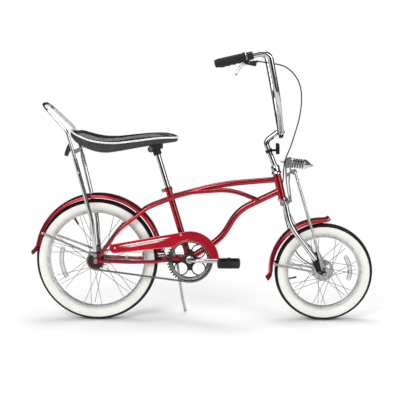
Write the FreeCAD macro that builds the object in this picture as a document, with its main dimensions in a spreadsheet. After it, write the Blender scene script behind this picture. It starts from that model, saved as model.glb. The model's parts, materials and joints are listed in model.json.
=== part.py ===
import FreeCAD, Part
import math
import os
import Sketcher
from FreeCAD import Placement, Rotation, Vector

# A chopper bicycle with a tall springer fork, a banana seat and a sissy bar.
# Lengths are millimetres and angles are degrees.
# X points forward, Y to the rider's left, Z up. Everything is drawn with the
# bicycle upright, the rear axle above X = 0, and the finished pieces then lean
# together on the side stand.

doc = FreeCAD.newDocument("chopper_bicycle")
sheet = doc.addObject("Spreadsheet::Sheet", "Sizes")

# Driving dimensions: name, value, what it is
DIMENSIONS = [
    ("lean_angle", 5.0, "lean of the parked bicycle to its left"),
    ("wheelbase", 940.0, "rear axle to front axle"),
    ("rear_wheel_radius", 254.0, "rear axle to tread"),
    ("front_wheel_radius", 203.0, "front axle to tread"),
    ("tyre_half_width", 27.0, "half the section of both tyres"),
    ("tyre_height", 48.0, "tread to bead, in the wheel's plane"),
    ("tread_half_width", 19.0, "half the width of the black tread"),
    ("rim_half_width", 15.0, "half the width of both rims"),
    ("rim_depth", 17.0, "rim flange to the spoke bed"),
    ("spoke_radius", 1.1, "half the spoke's wire"),
    ("spoke_pairs", 14.0, "crossed spokes on each flange"),
    ("rear_flange_radius", 33.0, "rear hub flange"),
    ("front_flange_radius", 27.0, "front hub flange"),
    ("flange_spread", 27.0, "middle of the hub to each flange"),
    ("drum_radius", 45.0, "front hub brake drum"),
    ("axle_radius", 4.76, "both axles"),
    ("axle_reach", 82.0, "middle of the bicycle to the end of each axle"),
    ("axle_nut_radius", 8.6, "axle nuts, across their corners, half"),
    ("axle_nut_height", 9.0, "axle nuts"),
    ("dropout_gap", 55.0, "middle of the bicycle to the inside of each dropout"),
    ("dropout_thickness", 5.0, "dropout plates"),
    ("bracket_forward", 388.0, "rear axle to bottom bracket, along X"),
    ("bracket_height", 259.0, "bottom bracket above the ground"),
    ("bracket_half_width", 34.0, "half the bottom bracket shell"),
    ("bracket_radius", 26.0, "bottom bracket shell"),
    ("head_setback", 171.3, "front axle back to the head tube's lower end, along X"),
    ("head_height", 509.3, "lower end of the head tube above the ground"),
    ("head_length", 104.0, "head tube"),
    ("head_tilt", 13.0, "steering axis from upright"),
    ("head_radius", 16.5, "head tube"),
    ("head_bore", 14.6, "inside of the head tube"),
    ("steerer_radius", 12.7, "fork steerer"),
    ("top_tube_radius", 12.0, "top tube"),
    ("down_tube_radius", 13.5, "down tube"),
    ("seat_tube_radius", 13.6, "seat tube"),
    ("seat_tube_bore", 11.4, "inside of the seat tube"),
    ("seat_tube_tilt", 16.4, "seat tube from upright"),
    ("seat_tube_length", 309.0, "seat tube above the bottom bracket axis"),
    ("seat_post_radius", 11.1, "seat post"),
    ("seat_post_rise", 158.0, "seat post above the seat tube"),
    ("arch_tube_radius", 8.0, "twin arched tubes"),
    ("stay_radius", 7.5, "chain stays"),
    ("chain_line", 45.0, "middle of the bicycle to the chain"),
    ("chain_pitch", 12.7, "chain pitch"),
    ("ring_teeth", 46.0, "teeth of the chainring"),
    ("sprocket_teeth", 18.0, "teeth of the rear sprocket"),
    ("ring_thickness", 2.6, "chainring and sprocket teeth"),
    ("chain_gap", 3.6, "between the chain's inner plates"),
    ("chain_plate", 2.0, "each side of the chain"),
    ("chain_height", 8.4, "chain plates"),
    ("crank_length", 161.0, "bottom bracket axis to pedal axis"),
    ("crank_radius", 9.0, "crank spindle and arms"),
    ("crank_side", 74.0, "middle of the bicycle to each crank arm"),
    ("pedal_length", 88.0, "pedal along the bicycle"),
    ("pedal_width", 84.0, "pedal across the bicycle"),
    ("pedal_thickness", 28.0, "pedal"),
    ("guard_thickness", 1.6, "chain guard plate"),
    ("guard_side", 58.0, "middle of the bicycle to the inside of the chain guard"),
    ("guard_outer_radius", 120.0, "chain guard, round the bottom bracket"),
    ("guard_inner_radius", 83.5, "inner edge of the chain guard"),
    ("fender_thickness", 1.4, "fender sheet"),
    ("rear_fender_radius", 268.0, "crown of the rear fender"),
    ("rear_fender_half_width", 34.0, "half the rear fender"),
    ("front_fender_radius", 220.5, "crown of the front fender"),
    ("front_fender_half_width", 33.0, "half the front fender"),
    ("fender_drop", 17.0, "crown of a fender down to its edge"),
    ("leg_radius", 10.4, "fork legs"),
    ("crown_depth", 14.0, "fork crown along the steering axis"),
    ("leg_side", 50.0, "middle of the fork to each leg at the crown"),
    ("rod_radius", 5.0, "springer rods"),
    ("spring_radius", 20.5, "outside of the spring"),
    ("spring_wire", 3.6, "half the spring's wire"),
    ("spring_length", 54.0, "spring between its seats"),
    ("spring_turns", 4.5, "turns of the spring"),
    ("stem_radius", 11.0, "stem"),
    ("bar_radius", 11.1, "handlebar"),
    ("bar_rise", 323.0, "clamp to the handlebar's upper bend"),
    ("grip_radius", 16.0, "grips"),
    ("grip_length", 116.0, "grips"),
    ("sissy_strut_radius", 8.6, "lower struts of the sissy bar"),
    ("sissy_loop_radius", 6.4, "upper loop of the sissy bar"),
    ("sissy_side", 112.0, "middle of the bicycle to each leg of the loop"),
    ("seat_half_width", 92.0, "half the seat at its widest"),
    ("seat_nose_half_width", 42.0, "half the seat at its nose"),
    ("stand_radius", 5.5, "side stand rod"),
    ("stand_reach", 63.0, "side stand from its pivot outwards"),
    ("cable_radius", 2.5, "brake cable"),
    ("running_gap", 0.4, "play at pins and bearings"),
]

for row, (alias, value, note) in enumerate(DIMENSIONS, start=1):
    sheet.set("A%d" % row, note)
    sheet.set("B%d" % row, str(value))
    sheet.setAlias("B%d" % row, alias)
doc.recompute()


# Sizes that remember how they follow from the sheet

class Size(float):
    """A number that remembers how it follows from the sheet, as a sum of named terms and a constant."""

    def __new__(cls, value, terms, constant):
        terms = {name: factor for name, factor in terms.items() if abs(factor) > 1e-12}
        if not terms:
            return float(value)
        made = float.__new__(cls, value)
        made.terms = terms
        made.constant = constant
        return made

    @property
    def rule(self):
        """The formula of the sheet that gives this number."""
        parts = ["%.9g * %s" % (factor, name) for name, factor in self.terms.items()]
        return "(" + " + ".join(parts + ["(%.9g)" % self.constant]) + ")"

    def plus(self, other, sign):
        terms = dict(self.terms)
        for name, factor in (other.terms if isinstance(other, Size) else {}).items():
            terms[name] = terms.get(name, 0.0) + sign * factor
        constant = other.constant if isinstance(other, Size) else float(other)
        return Size(float(self) + sign * float(other), terms, self.constant + sign * constant)

    def times(self, factor):
        terms = {name: factor * own for name, own in self.terms.items()}
        return Size(float(self) * factor, terms, self.constant * factor)

    def __add__(self, other):
        return self.plus(other, 1)

    def __radd__(self, other):
        return self.plus(other, 1)

    def __sub__(self, other):
        return self.plus(other, -1)

    def __rsub__(self, other):
        return self.times(-1.0).plus(other, 1)

    def __neg__(self):
        return self.times(-1.0)

    def __mul__(self, other):
        if isinstance(other, Size):
            return worked_out(float(self) * float(other), "(%s * %s)" % (rule_of(self), rule_of(other)))
        return self.times(float(other))

    def __rmul__(self, other):
        return self.times(float(other))

    def __truediv__(self, other):
        if isinstance(other, Size):
            return worked_out(float(self) / float(other), "(%s / %s)" % (rule_of(self), rule_of(other)))
        return self.times(1.0 / float(other))

    def __rtruediv__(self, other):
        return worked_out(float(other) / float(self), "(%s / %s)" % (rule_of(other), rule_of(self)))


def rule_of(value):
    """The rule of a size, or the plain number."""
    return value.rule if isinstance(value, Size) else "(%.9g)" % float(value)


def worked_out(value, rule):
    """A size given by a rule that isn't a sum."""
    return Size(value, {rule: 1.0}, 0.0)


def size(alias):
    """A driving dimension of the sheet."""
    return worked_out(float(sheet.get(alias)), "Sizes." + alias)


def sine(angle):
    value = math.sin(math.radians(angle))
    return worked_out(value, "sin(%s)" % rule_of(angle)) if isinstance(angle, Size) else value


def cosine(angle):
    value = math.cos(math.radians(angle))
    return worked_out(value, "cos(%s)" % rule_of(angle)) if isinstance(angle, Size) else value


def root(number):
    value = math.sqrt(number)
    return worked_out(value, "sqrt(%s)" % rule_of(number)) if isinstance(number, Size) else value


LONGEST_RULE = 1500


def bind(thing, name, value):
    """Sets a property and ties it to the sheet."""
    if isinstance(value, Size) and len(value.rule) < LONGEST_RULE:
        thing.setExpression(name, value.rule)


# Places that several pieces share
WHEELBASE = size("wheelbase")
REAR_RADIUS = size("rear_wheel_radius")
FRONT_RADIUS = size("front_wheel_radius")
REAR_AXLE = (0.0, REAR_RADIUS)
FRONT_AXLE = (WHEELBASE, FRONT_RADIUS)
BRACKET = (size("bracket_forward"), size("bracket_height"))
HEAD_LOW = (WHEELBASE - size("head_setback"), size("head_height"))
HEAD_SPAN = (HEAD_LOW[0] - BRACKET[0], HEAD_LOW[1] - BRACKET[1])
HEAD_TILT = size("head_tilt")
GAP = size("running_gap")
AXLE_RADIUS = size("axle_radius")
DROPOUT_INSIDE = size("dropout_gap")
DROPOUT_OUTSIDE = DROPOUT_INSIDE + size("dropout_thickness")
CHAIN_LINE = size("chain_line")


def steering_point(along, forward=0.0):
    """A point of the steering plane: along the axis from the head tube's lower end, and ahead of the axis."""
    x = HEAD_LOW[0] - sine(HEAD_TILT) * along + cosine(HEAD_TILT) * forward
    z = HEAD_LOW[1] + cosine(HEAD_TILT) * along + sine(HEAD_TILT) * forward
    return (x, z)


# Building blocks

nodes = {}


def keep(thing, label):
    """Names a finished sub-part."""
    thing.Label = label
    nodes[label] = thing
    return thing


def origin_plane(body, role):
    return [item for item in body.Origin.OriginFeatures if item.Role == role][0]


def sketch_on(body, role, at=(0.0, 0.0, 0.0), turn=None):
    """A sketch on one of the body's own planes, moved by at in that plane's axes."""
    sketch = body.newObject("Sketcher::SketchObject", body.Name + "_sketch")
    sketch.AttachmentSupport = [(origin_plane(body, role), "")]
    sketch.MapMode = "FlatFace"
    turn = turn or Rotation()
    sketch.AttachmentOffset = Placement(Vector(*[float(v) for v in at]), turn)
    for letter, value in zip("xyz", at):
        bind(sketch, "AttachmentOffset.Base." + letter, value)
    return sketch


def fix(geometry, vertex, point):
    """The two ties that hold a vertex of a sketch at a place given by two sizes."""
    return [(("DistanceX", -1, 1, geometry, vertex, float(point[0])), point[0]),
            (("DistanceY", -1, 1, geometry, vertex, float(point[1])), point[1])]


def tie(sketch, ties):
    """Adds the ties of a sketch in one go and binds those that follow the sheet."""
    first = sketch.ConstraintCount
    sketch.addConstraint([Sketcher.Constraint(*terms) for terms, value in ties])
    for index, (terms, value) in enumerate(ties, start=first):
        bind(sketch, "Constraints[%d]" % index, value)


def unit(start, end):
    """The direction from one point to another."""
    run = (end[0] - start[0], end[1] - start[1])
    length = root(run[0] * run[0] + run[1] * run[1])
    return (run[0] / length, run[1] / length)


def flat(point):
    return Vector(float(point[0]), float(point[1]), 0)


def round_corner(before, corner, after, radius):
    """Start, middle and end of the arc of a round corner."""
    back = unit(corner, before)
    ahead = unit(corner, after)
    spread = back[0] * ahead[0] + back[1] * ahead[1]
    reach = radius * root((1 + spread) / (1 - spread))
    start = (corner[0] + back[0] * reach, corner[1] + back[1] * reach)
    end = (corner[0] + ahead[0] * reach, corner[1] + ahead[1] * reach)
    inward = (flat(start) + flat(end)) * 0.5 - flat(corner)
    inward.normalize()
    depth = float(radius) * (math.sqrt(2 / (1 - float(spread))) - 1)
    return start, flat(corner) + inward * depth, end


def outline(sketch, points, radii=None, closed=True):
    """Draws straight lines through points, with a tangent arc of the given radius at each round corner."""
    count = len(points)
    radii = radii or [0] * count
    corners = []
    for i, radius in enumerate(radii):
        if radius:
            corners.append(round_corner(points[i - 1], points[i], points[(i + 1) % count], radius))
        else:
            corners.append((points[i], None, points[i]))
    runs = count if closed else count - 1
    ties = []
    lines = []
    joints = []
    for i in range(runs):
        start = corners[i][2]
        end = corners[(i + 1) % count][0]
        lines.append(sketch.addGeometry(Part.LineSegment(flat(start), flat(end)), False))
        ties += fix(lines[i], 1, start)
        if radii[(i + 1) % count] or (not closed and i == runs - 1):
            ties += fix(lines[i], 2, end)
        else:
            joints.append((i, (i + 1) % count))
    for i, radius in enumerate(radii):
        if not radius:
            continue
        start, middle, end = flat(corners[i][0]), corners[i][1], flat(corners[i][2])
        leftward = (middle - start).cross(end - middle).z > 0
        ends = (start, end) if leftward else (end, start)
        arc = sketch.addGeometry(Part.Arc(ends[0], middle, ends[1]), False)
        first, last = (1, 2) if leftward else (2, 1)
        ties += [(("Coincident", lines[i - 1], 2, arc, first), None),
                 (("Coincident", arc, last, lines[i], 1), None),
                 (("Radius", arc, float(radius)), radius)]
    ties += [(("Coincident", lines[i], 2, lines[j], 1), None) for i, j in joints]
    tie(sketch, ties)
    return lines


def run_of(sketch, start, runs):
    """A closed outline of straight lines and arcs. Each run holds its end and, for an arc, its middle and radius."""
    ties = []
    indices = []
    for end, middle, radius in runs:
        if middle is None:
            indices.append((sketch.addGeometry(Part.LineSegment(flat(start), flat(end)), False), 1, 2))
        else:
            leftward = (flat(middle) - flat(start)).cross(flat(end) - flat(middle)).z > 0
            ends = (start, end) if leftward else (end, start)
            arc = sketch.addGeometry(Part.Arc(flat(ends[0]), flat(middle), flat(ends[1])), False)
            indices.append((arc, 1, 2) if leftward else (arc, 2, 1))
            ties.append((("Radius", arc, float(radius)), radius))
        ties += fix(indices[-1][0], indices[-1][2], end)
        start = end
    for (before, first, last), (after, start_point, end_point) in zip(indices, indices[1:] + indices[:1]):
        ties.append((("Coincident", before, last, after, start_point), None))
    tie(sketch, ties)


def circle(sketch, centre, radius):
    """A circle whose middle and radius are tied to the sheet."""
    index = sketch.addGeometry(Part.Circle(flat(centre), Vector(0, 0, 1), float(radius)), False)
    tie(sketch, fix(index, 3, centre) + [(("Radius", index, float(radius)), radius)])
    return index


def new_body(label):
    body = doc.addObject("PartDesign::Body", label)
    return keep(body, label)


def pad(body, sketch, length, both_ways=False):
    made = body.newObject("PartDesign::Pad", body.Name + "_pad")
    made.Profile = sketch
    made.Length = float(length)
    bind(made, "Length", length)
    made.Midplane = both_ways
    return made


def pocket(body, sketch, length, both_ways=True):
    made = body.newObject("PartDesign::Pocket", body.Name + "_pocket")
    made.Profile = sketch
    made.Length = float(length)
    bind(made, "Length", length)
    made.Midplane = both_ways
    return made


def side_plate(body, y_inner, thickness, points, radii=None, sign=-1):
    """Pads an outline of the XZ plane into a plate whose inner face lies at y_inner, on the side of sign."""
    offset = y_inner if sign < 0 else -(y_inner + thickness)
    sketch = sketch_on(body, "XZ_Plane", (0.0, 0.0, offset))
    outline(sketch, points, radii)
    return pad(body, sketch, thickness)


def turned(body, centre, profile, radii=None, angles=None):
    """Turns a profile of (y, radius) points about the Y axis through centre."""
    sketch = sketch_on(body, "YZ_Plane", (0.0, centre[1], centre[0]))
    outline(sketch, profile, radii)
    made = body.newObject("PartDesign::Revolution", body.Name + "_turn")
    made.Profile = sketch
    made.ReferenceAxis = (sketch, ["H_Axis"])
    made.Angle = 360.0
    if angles:
        made.Type = "TwoAngles"
        made.Angle = float(angles[0])
        made.Angle2 = float(angles[1])
        bind(made, "Angle", angles[0])
        bind(made, "Angle2", angles[1])
    return made


def bent_tube(body, points, radii, outer, y=0.0):
    """Carries a round section along a path of the XZ plane."""
    spine = sketch_on(body, "XZ_Plane", (0.0, 0.0, -y))
    outline(spine, points, radii, closed=False)
    rise = math.degrees(math.atan2(float(points[1][1]) - float(points[0][1]),
                                   float(points[1][0]) - float(points[0][0])))
    section = sketch_on(body, "YZ_Plane", (y, points[0][1], points[0][0]), Rotation(Vector(1, 0, 0), -rise))
    circle(section, (0.0, 0.0), outer)
    made = body.newObject("PartDesign::AdditivePipe", body.Name + "_pipe")
    made.Profile = section
    made.Spine = (spine, [])
    return made


def rounded_wire(points, radii):
    """A wire of straight runs joined by tangent arcs, through points in space."""
    points = [vector(point) for point in points]
    edges = []
    start = points[0]
    for i in range(1, len(points) - 1):
        back = (points[i - 1] - points[i]).normalize()
        ahead = (points[i + 1] - points[i]).normalize()
        half = back.getAngle(ahead) / 2
        radius = float(radii[i])
        if radius <= 0:
            edges.append(Part.makeLine(start, points[i]))
            start = points[i]
            continue
        first = points[i] + back * (radius / math.tan(half))
        last = points[i] + ahead * (radius / math.tan(half))
        inward = (back + ahead).normalize()
        bulge = points[i] + inward * (radius / math.sin(half) - radius)
        if first.distanceToPoint(start) > 1e-6:
            edges.append(Part.makeLine(start, first))
        edges.append(Part.Arc(first, bulge, last).toShape())
        start = last
    edges.append(Part.makeLine(start, points[-1]))
    return Part.Wire(edges)


def swept(points, radii, outer):
    """A round bar along a rounded wire in space."""
    wire = rounded_wire(points, radii)
    start = vector(points[0])
    ahead = vector(points[1]) - start
    section = Part.Wire([Part.makeCircle(float(outer), start, ahead)])
    return wire.makePipeShell([section], True, False)


def vector(point):
    return Vector(*[float(v) for v in point])


def rod(start, end, radius):
    start = vector(start)
    end = vector(end)
    return Part.makeCylinder(float(radius), start.distanceToPoint(end), start, end - start)


def feature(label, shape):
    """A sub-part whose shape is worked out here from the sheet's sizes."""
    made = doc.addObject("Part::Feature", label)
    made.Shape = shape
    return keep(made, label)


def helper(name, shape):
    made = doc.addObject("Part::Feature", name)
    made.Shape = shape
    return made


def cut_away(label, base, tools):
    """The base without the room that each tool takes."""
    nodes.pop(base.Label, None)
    base.Label = label + "_stock"
    for number, tool in enumerate(tools, start=1):
        made = doc.addObject("Part::Cut", "%s_cut_%d" % (label, number))
        made.Base = base
        made.Tool = tool
        base = made
    return keep(base, label)


def merged(label, items):
    """Several like pieces as one sub-part."""
    for item in items:
        nodes.pop(item.Label, None)
    made = doc.addObject("Part::Compound", label)
    made.Links = items
    return keep(made, label)


def joined(shapes):
    """One solid from pieces that meet."""
    whole = shapes[0]
    for shape in shapes[1:]:
        whole = whole.fuse(shape)
    return whole


def band(start, end, inner, wall):
    """A clip round a bar, from start to end along the bar's middle."""
    ahead = vector(end) - vector(start)
    return rod(start, end, inner + wall).cut(rod(vector(start) - ahead, vector(end) + ahead, inner))


def upright_plate(points, y_low, thickness):
    """A plate of the XZ plane between two distances out from the middle."""
    corners = [Vector(float(x), float(y_low), float(z)) for x, z in points]
    return Part.Face(Part.makePolygon(corners + [corners[0]])).extrude(Vector(0, float(thickness), 0))


def between(start, end, share):
    """The point a share of the way from start to end."""
    return vector(start) + (vector(end) - vector(start)) * share


# Frame

def head_envelope():
    low = steering_point(0.0)
    high = steering_point(size("head_length"))
    return helper("head_room", rod((low[0], 0, low[1]), (high[0], 0, high[1]), size("head_radius")))


def tilted_turning(body, along, forward, profile, radii=None):
    """Turns (distance from the axis, height along it) points about the steering axis."""
    low = steering_point(along, forward)
    sketch = sketch_on(body, "XZ_Plane", (low[0], low[1], 0.0))
    sketch.AttachmentOffset = Placement(sketch.AttachmentOffset.Base, Rotation(Vector(0, 0, 1), float(HEAD_TILT)))
    sketch.setExpression("AttachmentOffset.Rotation.Angle", HEAD_TILT.rule)
    outline(sketch, profile, radii)
    made = body.newObject("PartDesign::Revolution", body.Name + "_turn")
    made.Profile = sketch
    made.ReferenceAxis = (sketch, ["V_Axis"])
    made.Angle = 360.0
    return made


CUP_HEIGHT = 12.0
CUP_RADIUS = size("head_radius") + 4.0


def head_tube():
    length = size("head_length")
    outer = size("head_radius")
    bore = size("head_bore")
    body = new_body("head_tube")
    tilted_turning(body, 0.0, 0.0, [(bore, 0.0), (outer, 0.0), (outer, length), (bore, length)])
    cups = new_body("headset_cups")
    race = size("steerer_radius") + GAP
    tilted_turning(cups, 0.0, 0.0, [(race, 0.0), (race, -CUP_HEIGHT + 3.0), (CUP_RADIUS - 3.0, -CUP_HEIGHT + 3.0),
                                    (CUP_RADIUS, -4.0), (CUP_RADIUS, 0.0)])
    tilted_turning(cups, length, 0.0, [(race, 0.0), (CUP_RADIUS, 0.0), (CUP_RADIUS, 4.0),
                                       (CUP_RADIUS - 3.0, CUP_HEIGHT), (race, CUP_HEIGHT)])


def bracket_shell():
    body = new_body("bottom_bracket")
    half = size("bracket_half_width")
    outer = size("bracket_radius")
    bore = size("crank_radius") + GAP
    turned(body, BRACKET, [(-half, bore), (half, bore), (half, outer), (-half, outer)])
    return helper("bracket_room", rod((BRACKET[0], -60, BRACKET[1]), (BRACKET[0], 60, BRACKET[1]), outer))


SEAT_TILT = size("seat_tube_tilt")
SEAT_BASE = (BRACKET[0] - 5.0, BRACKET[1])


def seat_point(along, forward=0.0):
    """A point of the seat tube's plane, along its axis and ahead of it."""
    x = SEAT_BASE[0] - sine(SEAT_TILT) * along + cosine(SEAT_TILT) * forward
    z = SEAT_BASE[1] + cosine(SEAT_TILT) * along + sine(SEAT_TILT) * forward
    return (x, z)


SEAT_TOP = seat_point(size("seat_tube_length") + size("seat_post_rise"))
# The seat's and the sissy bar's places are counted from here, so that they follow the post's top
SEAT_HEEL = (SEAT_TOP[0] - 251.1, SEAT_TOP[1] - 453.0)


def seat_tube(bracket_room):
    length = size("seat_tube_length")
    outer = size("seat_tube_radius")
    body = new_body("seat_tube_stock")
    base = sketch_on(body, "XY_Plane", (SEAT_BASE[0], 0.0, SEAT_BASE[1]), Rotation(Vector(0, 1, 0), -float(SEAT_TILT)))
    circle(base, (0.0, 0.0), outer)
    pad(body, base, length)
    hollow = sketch_on(body, "XY_Plane", (SEAT_BASE[0], 0.0, SEAT_BASE[1]),
                       Rotation(Vector(0, 1, 0), -float(SEAT_TILT)))
    circle(hollow, (0.0, 0.0), size("seat_tube_bore"))
    drilled = pocket(body, hollow, length, both_ways=False)
    drilled.Reversed = True
    cut_away("seat_tube", body, [bracket_room])
    top = seat_point(length)
    low = seat_point(0.0)
    return helper("seat_room", rod((low[0], 0, low[1]), (top[0], 0, top[1]), outer))


def main_tubes(head_room, seat_room, bracket_room):
    body = new_body("top_tube_stock")
    high = steering_point(size("head_length") * 0.77)
    low = seat_point(size("seat_tube_length") - 44.0)
    bend = (low[0] + (high[0] - low[0]) * 0.467, high[1] - 19.3)
    bent_tube(body, [low, bend, high], [0, 1000.0, 0], size("top_tube_radius"))
    cut_away("top_tube", body, [head_room, seat_room])

    body = new_body("down_tube_stock")
    head_end = steering_point(34.0)
    upper = (BRACKET[0] + HEAD_SPAN[0] * 0.525, BRACKET[1] + HEAD_SPAN[1] * 0.799)
    lower = (BRACKET[0] + HEAD_SPAN[0] * 0.3415, BRACKET[1] + HEAD_SPAN[1] * 0.3396)
    bent_tube(body, [BRACKET, lower, upper, head_end], [0, 190.0, 170.0, 0], size("down_tube_radius"))
    cut_away("down_tube", body, [head_room, bracket_room, seat_room])
    room = swept([(BRACKET[0], 0, BRACKET[1]), (lower[0], 0, lower[1]), (upper[0], 0, upper[1]),
                  (head_end[0], 0, head_end[1])], [0, 190.0, 170.0, 0], size("down_tube_radius"))
    return helper("down_room", room)


DROPOUT_SIDE = DROPOUT_INSIDE + size("dropout_thickness") / 2
REAR_FENDER_CENTRE = (REAR_AXLE[0] + 8.0, REAR_AXLE[1] + 10.0)


def dropout_room():
    """The slots that the dropouts take in the tubes' ends."""
    slots = []
    for low in (DROPOUT_INSIDE, -DROPOUT_OUTSIDE):
        corner = Vector(float(REAR_AXLE[0]) - 30.0, float(low), float(REAR_AXLE[1]) - 25.0)
        slots.append(Part.makeBox(60.0, float(size("dropout_thickness")), 65.0, corner))
    return helper("dropout_room", Part.makeCompound(slots))


def mirrored_bars(path, radius):
    """The same bent bar on both sides. The path holds X, height, distance out and bend radius."""
    bends = [bend for x, z, y, bend in path]
    return [swept([(x, y * sign, z) for x, z, y, bend in path], bends, radius) for sign in (-1, 1)]


def arch_tubes(down_room, slots):
    radius = size("arch_tube_radius")
    beside_seat = size("seat_tube_radius") + radius + 0.3
    seat_end = size("seat_tube_length")
    # Along X, above the ground, out from the middle, bend radius
    path = [
        (BRACKET[0] + HEAD_SPAN[0] * 0.7486, BRACKET[1] + HEAD_SPAN[1] * 0.963, 8.5, 0),
        (BRACKET[0] + HEAD_SPAN[0] * 0.4466, BRACKET[1] + seat_end - 22.0, 13.0, 260),
        (BRACKET[0] - 20.0, BRACKET[1] + seat_end - 35.0, beside_seat, 300),
        (REAR_AXLE[0] + 212.0, REAR_AXLE[1] + 219.0, 46.0, 200),
        (REAR_AXLE[0] + 92.0, REAR_AXLE[1] + 128.0, 56.0, 200),
        (REAR_AXLE[0] + 14.0, REAR_AXLE[1] + 19.0, DROPOUT_SIDE + 1.0, 0),
    ]
    stock = helper("arch_stock", Part.makeCompound(mirrored_bars(path, radius)))
    return cut_away("arch_tubes", stock, [down_room, slots])


def chain_stays(bracket_room, slots):
    radius = size("stay_radius")
    # Along X, above the ground, out from the middle, bend radius
    path = [
        (REAR_AXLE[0] + 15.0, REAR_AXLE[1] + 1.0, DROPOUT_SIDE + 2.0, 0),
        (REAR_AXLE[0] + 150.0, REAR_AXLE[1] - 5.0, 50.0, 300),
        (REAR_AXLE[0] + 235.0, REAR_AXLE[1] - 5.0, 40.0, 200),
        (REAR_AXLE[0] + 300.0, REAR_AXLE[1] + 1.0, 30.0, 200),
        (BRACKET[0], BRACKET[1], 25.0, 0),
    ]
    stock = helper("stay_stock", Part.makeCompound(mirrored_bars(path, radius)))
    return cut_away("chain_stays", stock, [bracket_room, slots])


def fender_point(angle, radius):
    """A place in the XZ plane about the middle of the rear fender, its angle from upright to the front."""
    turn = math.radians(angle)
    return (REAR_FENDER_CENTRE[0] + radius * math.sin(turn), REAR_FENDER_CENTRE[1] + radius * math.cos(turn))


def frame_bridges(arches, stays):
    """The cross rods between the arched tubes and between the chain stays, with the fender's lower tab."""
    crown = size("rear_fender_radius")
    x, z = fender_point(43.0, crown + 6.3)
    upper = rod((x, -50.0, z), (x, 50.0, z), 6.0).cut(arches.Shape)
    low_x, low_z = REAR_AXLE[0] + 291.0, REAR_AXLE[1] + 3.0
    lower = rod((low_x, -34.0, low_z), (low_x, 34.0, low_z), 6.0)
    inside = [fender_point(angle, crown + 0.3) for angle in (76.0, 80.0, 83.0)]
    outside = [fender_point(angle, crown + 2.5) for angle in (83.0, 80.0, 76.0)]
    tab = upright_plate(inside + [(low_x - 4.0, low_z), (low_x + 2.0, low_z)] + outside, -12.0, 24.0)
    middle = [solid for solid in joined([lower, tab]).cut(stays.Shape).Solids if abs(solid.CenterOfMass.y) < 20]
    inner = [solid for solid in upper.Solids if abs(solid.CenterOfMass.y) < 20]
    feature("frame_bridges", Part.makeCompound(inner + middle))


EYELET = (REAR_AXLE[0] - 1.6, REAR_AXLE[1] + 25.0)
EYELET_RADIUS = 3.2


def dropouts():
    x, z = REAR_AXLE
    slot = AXLE_RADIUS + GAP
    points = [
        (x - 20.0, z + 9.0), (x - 12.0, z + 16.0), (x - 9.0, z + 36.0), (x + 10.0, z + 36.0), (x + 22.0, z + 12.0),
        (x + 22.0, z - 10.0), (x + 4.0, z - 15.0), (x - 20.0, z - 12.0), (x - 20.0, z - slot), (x + slot, z - slot),
        (x + slot, z + slot), (x - 20.0, z + slot)]
    plates = []
    for side, sign in (("right", -1), ("left", 1)):
        plate = new_body("dropout_" + side)
        made = side_plate(plate, DROPOUT_INSIDE, size("dropout_thickness"), points, sign=sign)
        circle(made.Profile[0], EYELET, EYELET_RADIUS)
        plates.append(plate)
    merged("dropouts", plates)


# Wheels

def tyre_profile(radius):
    """Half section of a tyre as (y, radius) points, from the rim's flange over the tread and back."""
    wide = size("tyre_half_width")
    tread = size("tread_half_width")
    bead = radius - size("tyre_height")
    seat = size("rim_half_width") - 2.0
    return [(-seat, bead), (-seat, bead + 8.0), (-wide, bead + 22.0), (-wide + 1.0, radius - 15.0),
            (-tread, radius - 5.0), (-tread * 0.5, radius - 0.8), (tread * 0.5, radius - 0.8), (tread, radius - 5.0),
            (wide - 1.0, radius - 15.0), (wide, bead + 22.0), (seat, bead + 8.0), (seat, bead)]


def wheel(name, centre, radius):
    body = new_body(name + "_tyre")
    corners = [0, 4.0, 10.0, 10.0, 8.0, 30.0, 30.0, 8.0, 10.0, 10.0, 4.0, 0]
    turned(body, centre, tyre_profile(radius), corners)
    bead = radius - size("tyre_height")
    half = size("rim_half_width")
    flange = bead + 6.5
    bed = flange - size("rim_depth")
    rim = new_body(name + "_rim")
    turned(rim, centre, [(-half, flange), (-half, bead - 4.0), (-half + 6.0, bed), (half - 6.0, bed),
                         (half, bead - 4.0), (half, flange), (half - 1.8, flange), (half - 1.8, bead - 0.2),
                         (half - 6.0, bead - 1.0), (half - 8.0, bed + 2.2), (-half + 8.0, bed + 2.2),
                         (-half + 6.0, bead - 1.0), (-half + 1.8, bead - 0.2), (-half + 1.8, flange)])
    return bed


def spokes(name, centre, hub_radii, bed):
    """Crossed wire spokes from each flange to the rim, two by two."""
    pairs = int(round(size("spoke_pairs")))
    wire = size("spoke_radius")
    spread = size("flange_spread")
    shapes = []
    for side, hub_radius in zip((-1, 1), hub_radii):
        circle_radius = float(hub_radius) - 3.2
        for i in range(pairs // 2):
            for lean, offset in ((1, 2.6), (-1, -2.6)):
                hub_turn = (i + 0.5 * (side > 0) * 0.5) * 4 * math.pi / pairs
                rim_turn = hub_turn + lean * math.radians(56.0)
                start_y = side * (float(spread) + offset)
                start = Vector(float(centre[0]) + circle_radius * math.cos(hub_turn + lean * 0.1), start_y,
                               float(centre[1]) + circle_radius * math.sin(hub_turn + lean * 0.1))
                reach = float(bed) - 0.3
                end = Vector(float(centre[0]) + reach * math.cos(rim_turn), side * 3.0,
                             float(centre[1]) + reach * math.sin(rim_turn))
                shapes.append(Part.makeCylinder(float(wire), start.distanceToPoint(end), start, end - start))
    hub = doc.getObject(name + "_hub").Shape
    bare = [max(shape.cut(hub).Solids, key=lambda solid: solid.Volume) for shape in shapes]
    return feature(name + "_spokes", Part.makeCompound(bare))


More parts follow.
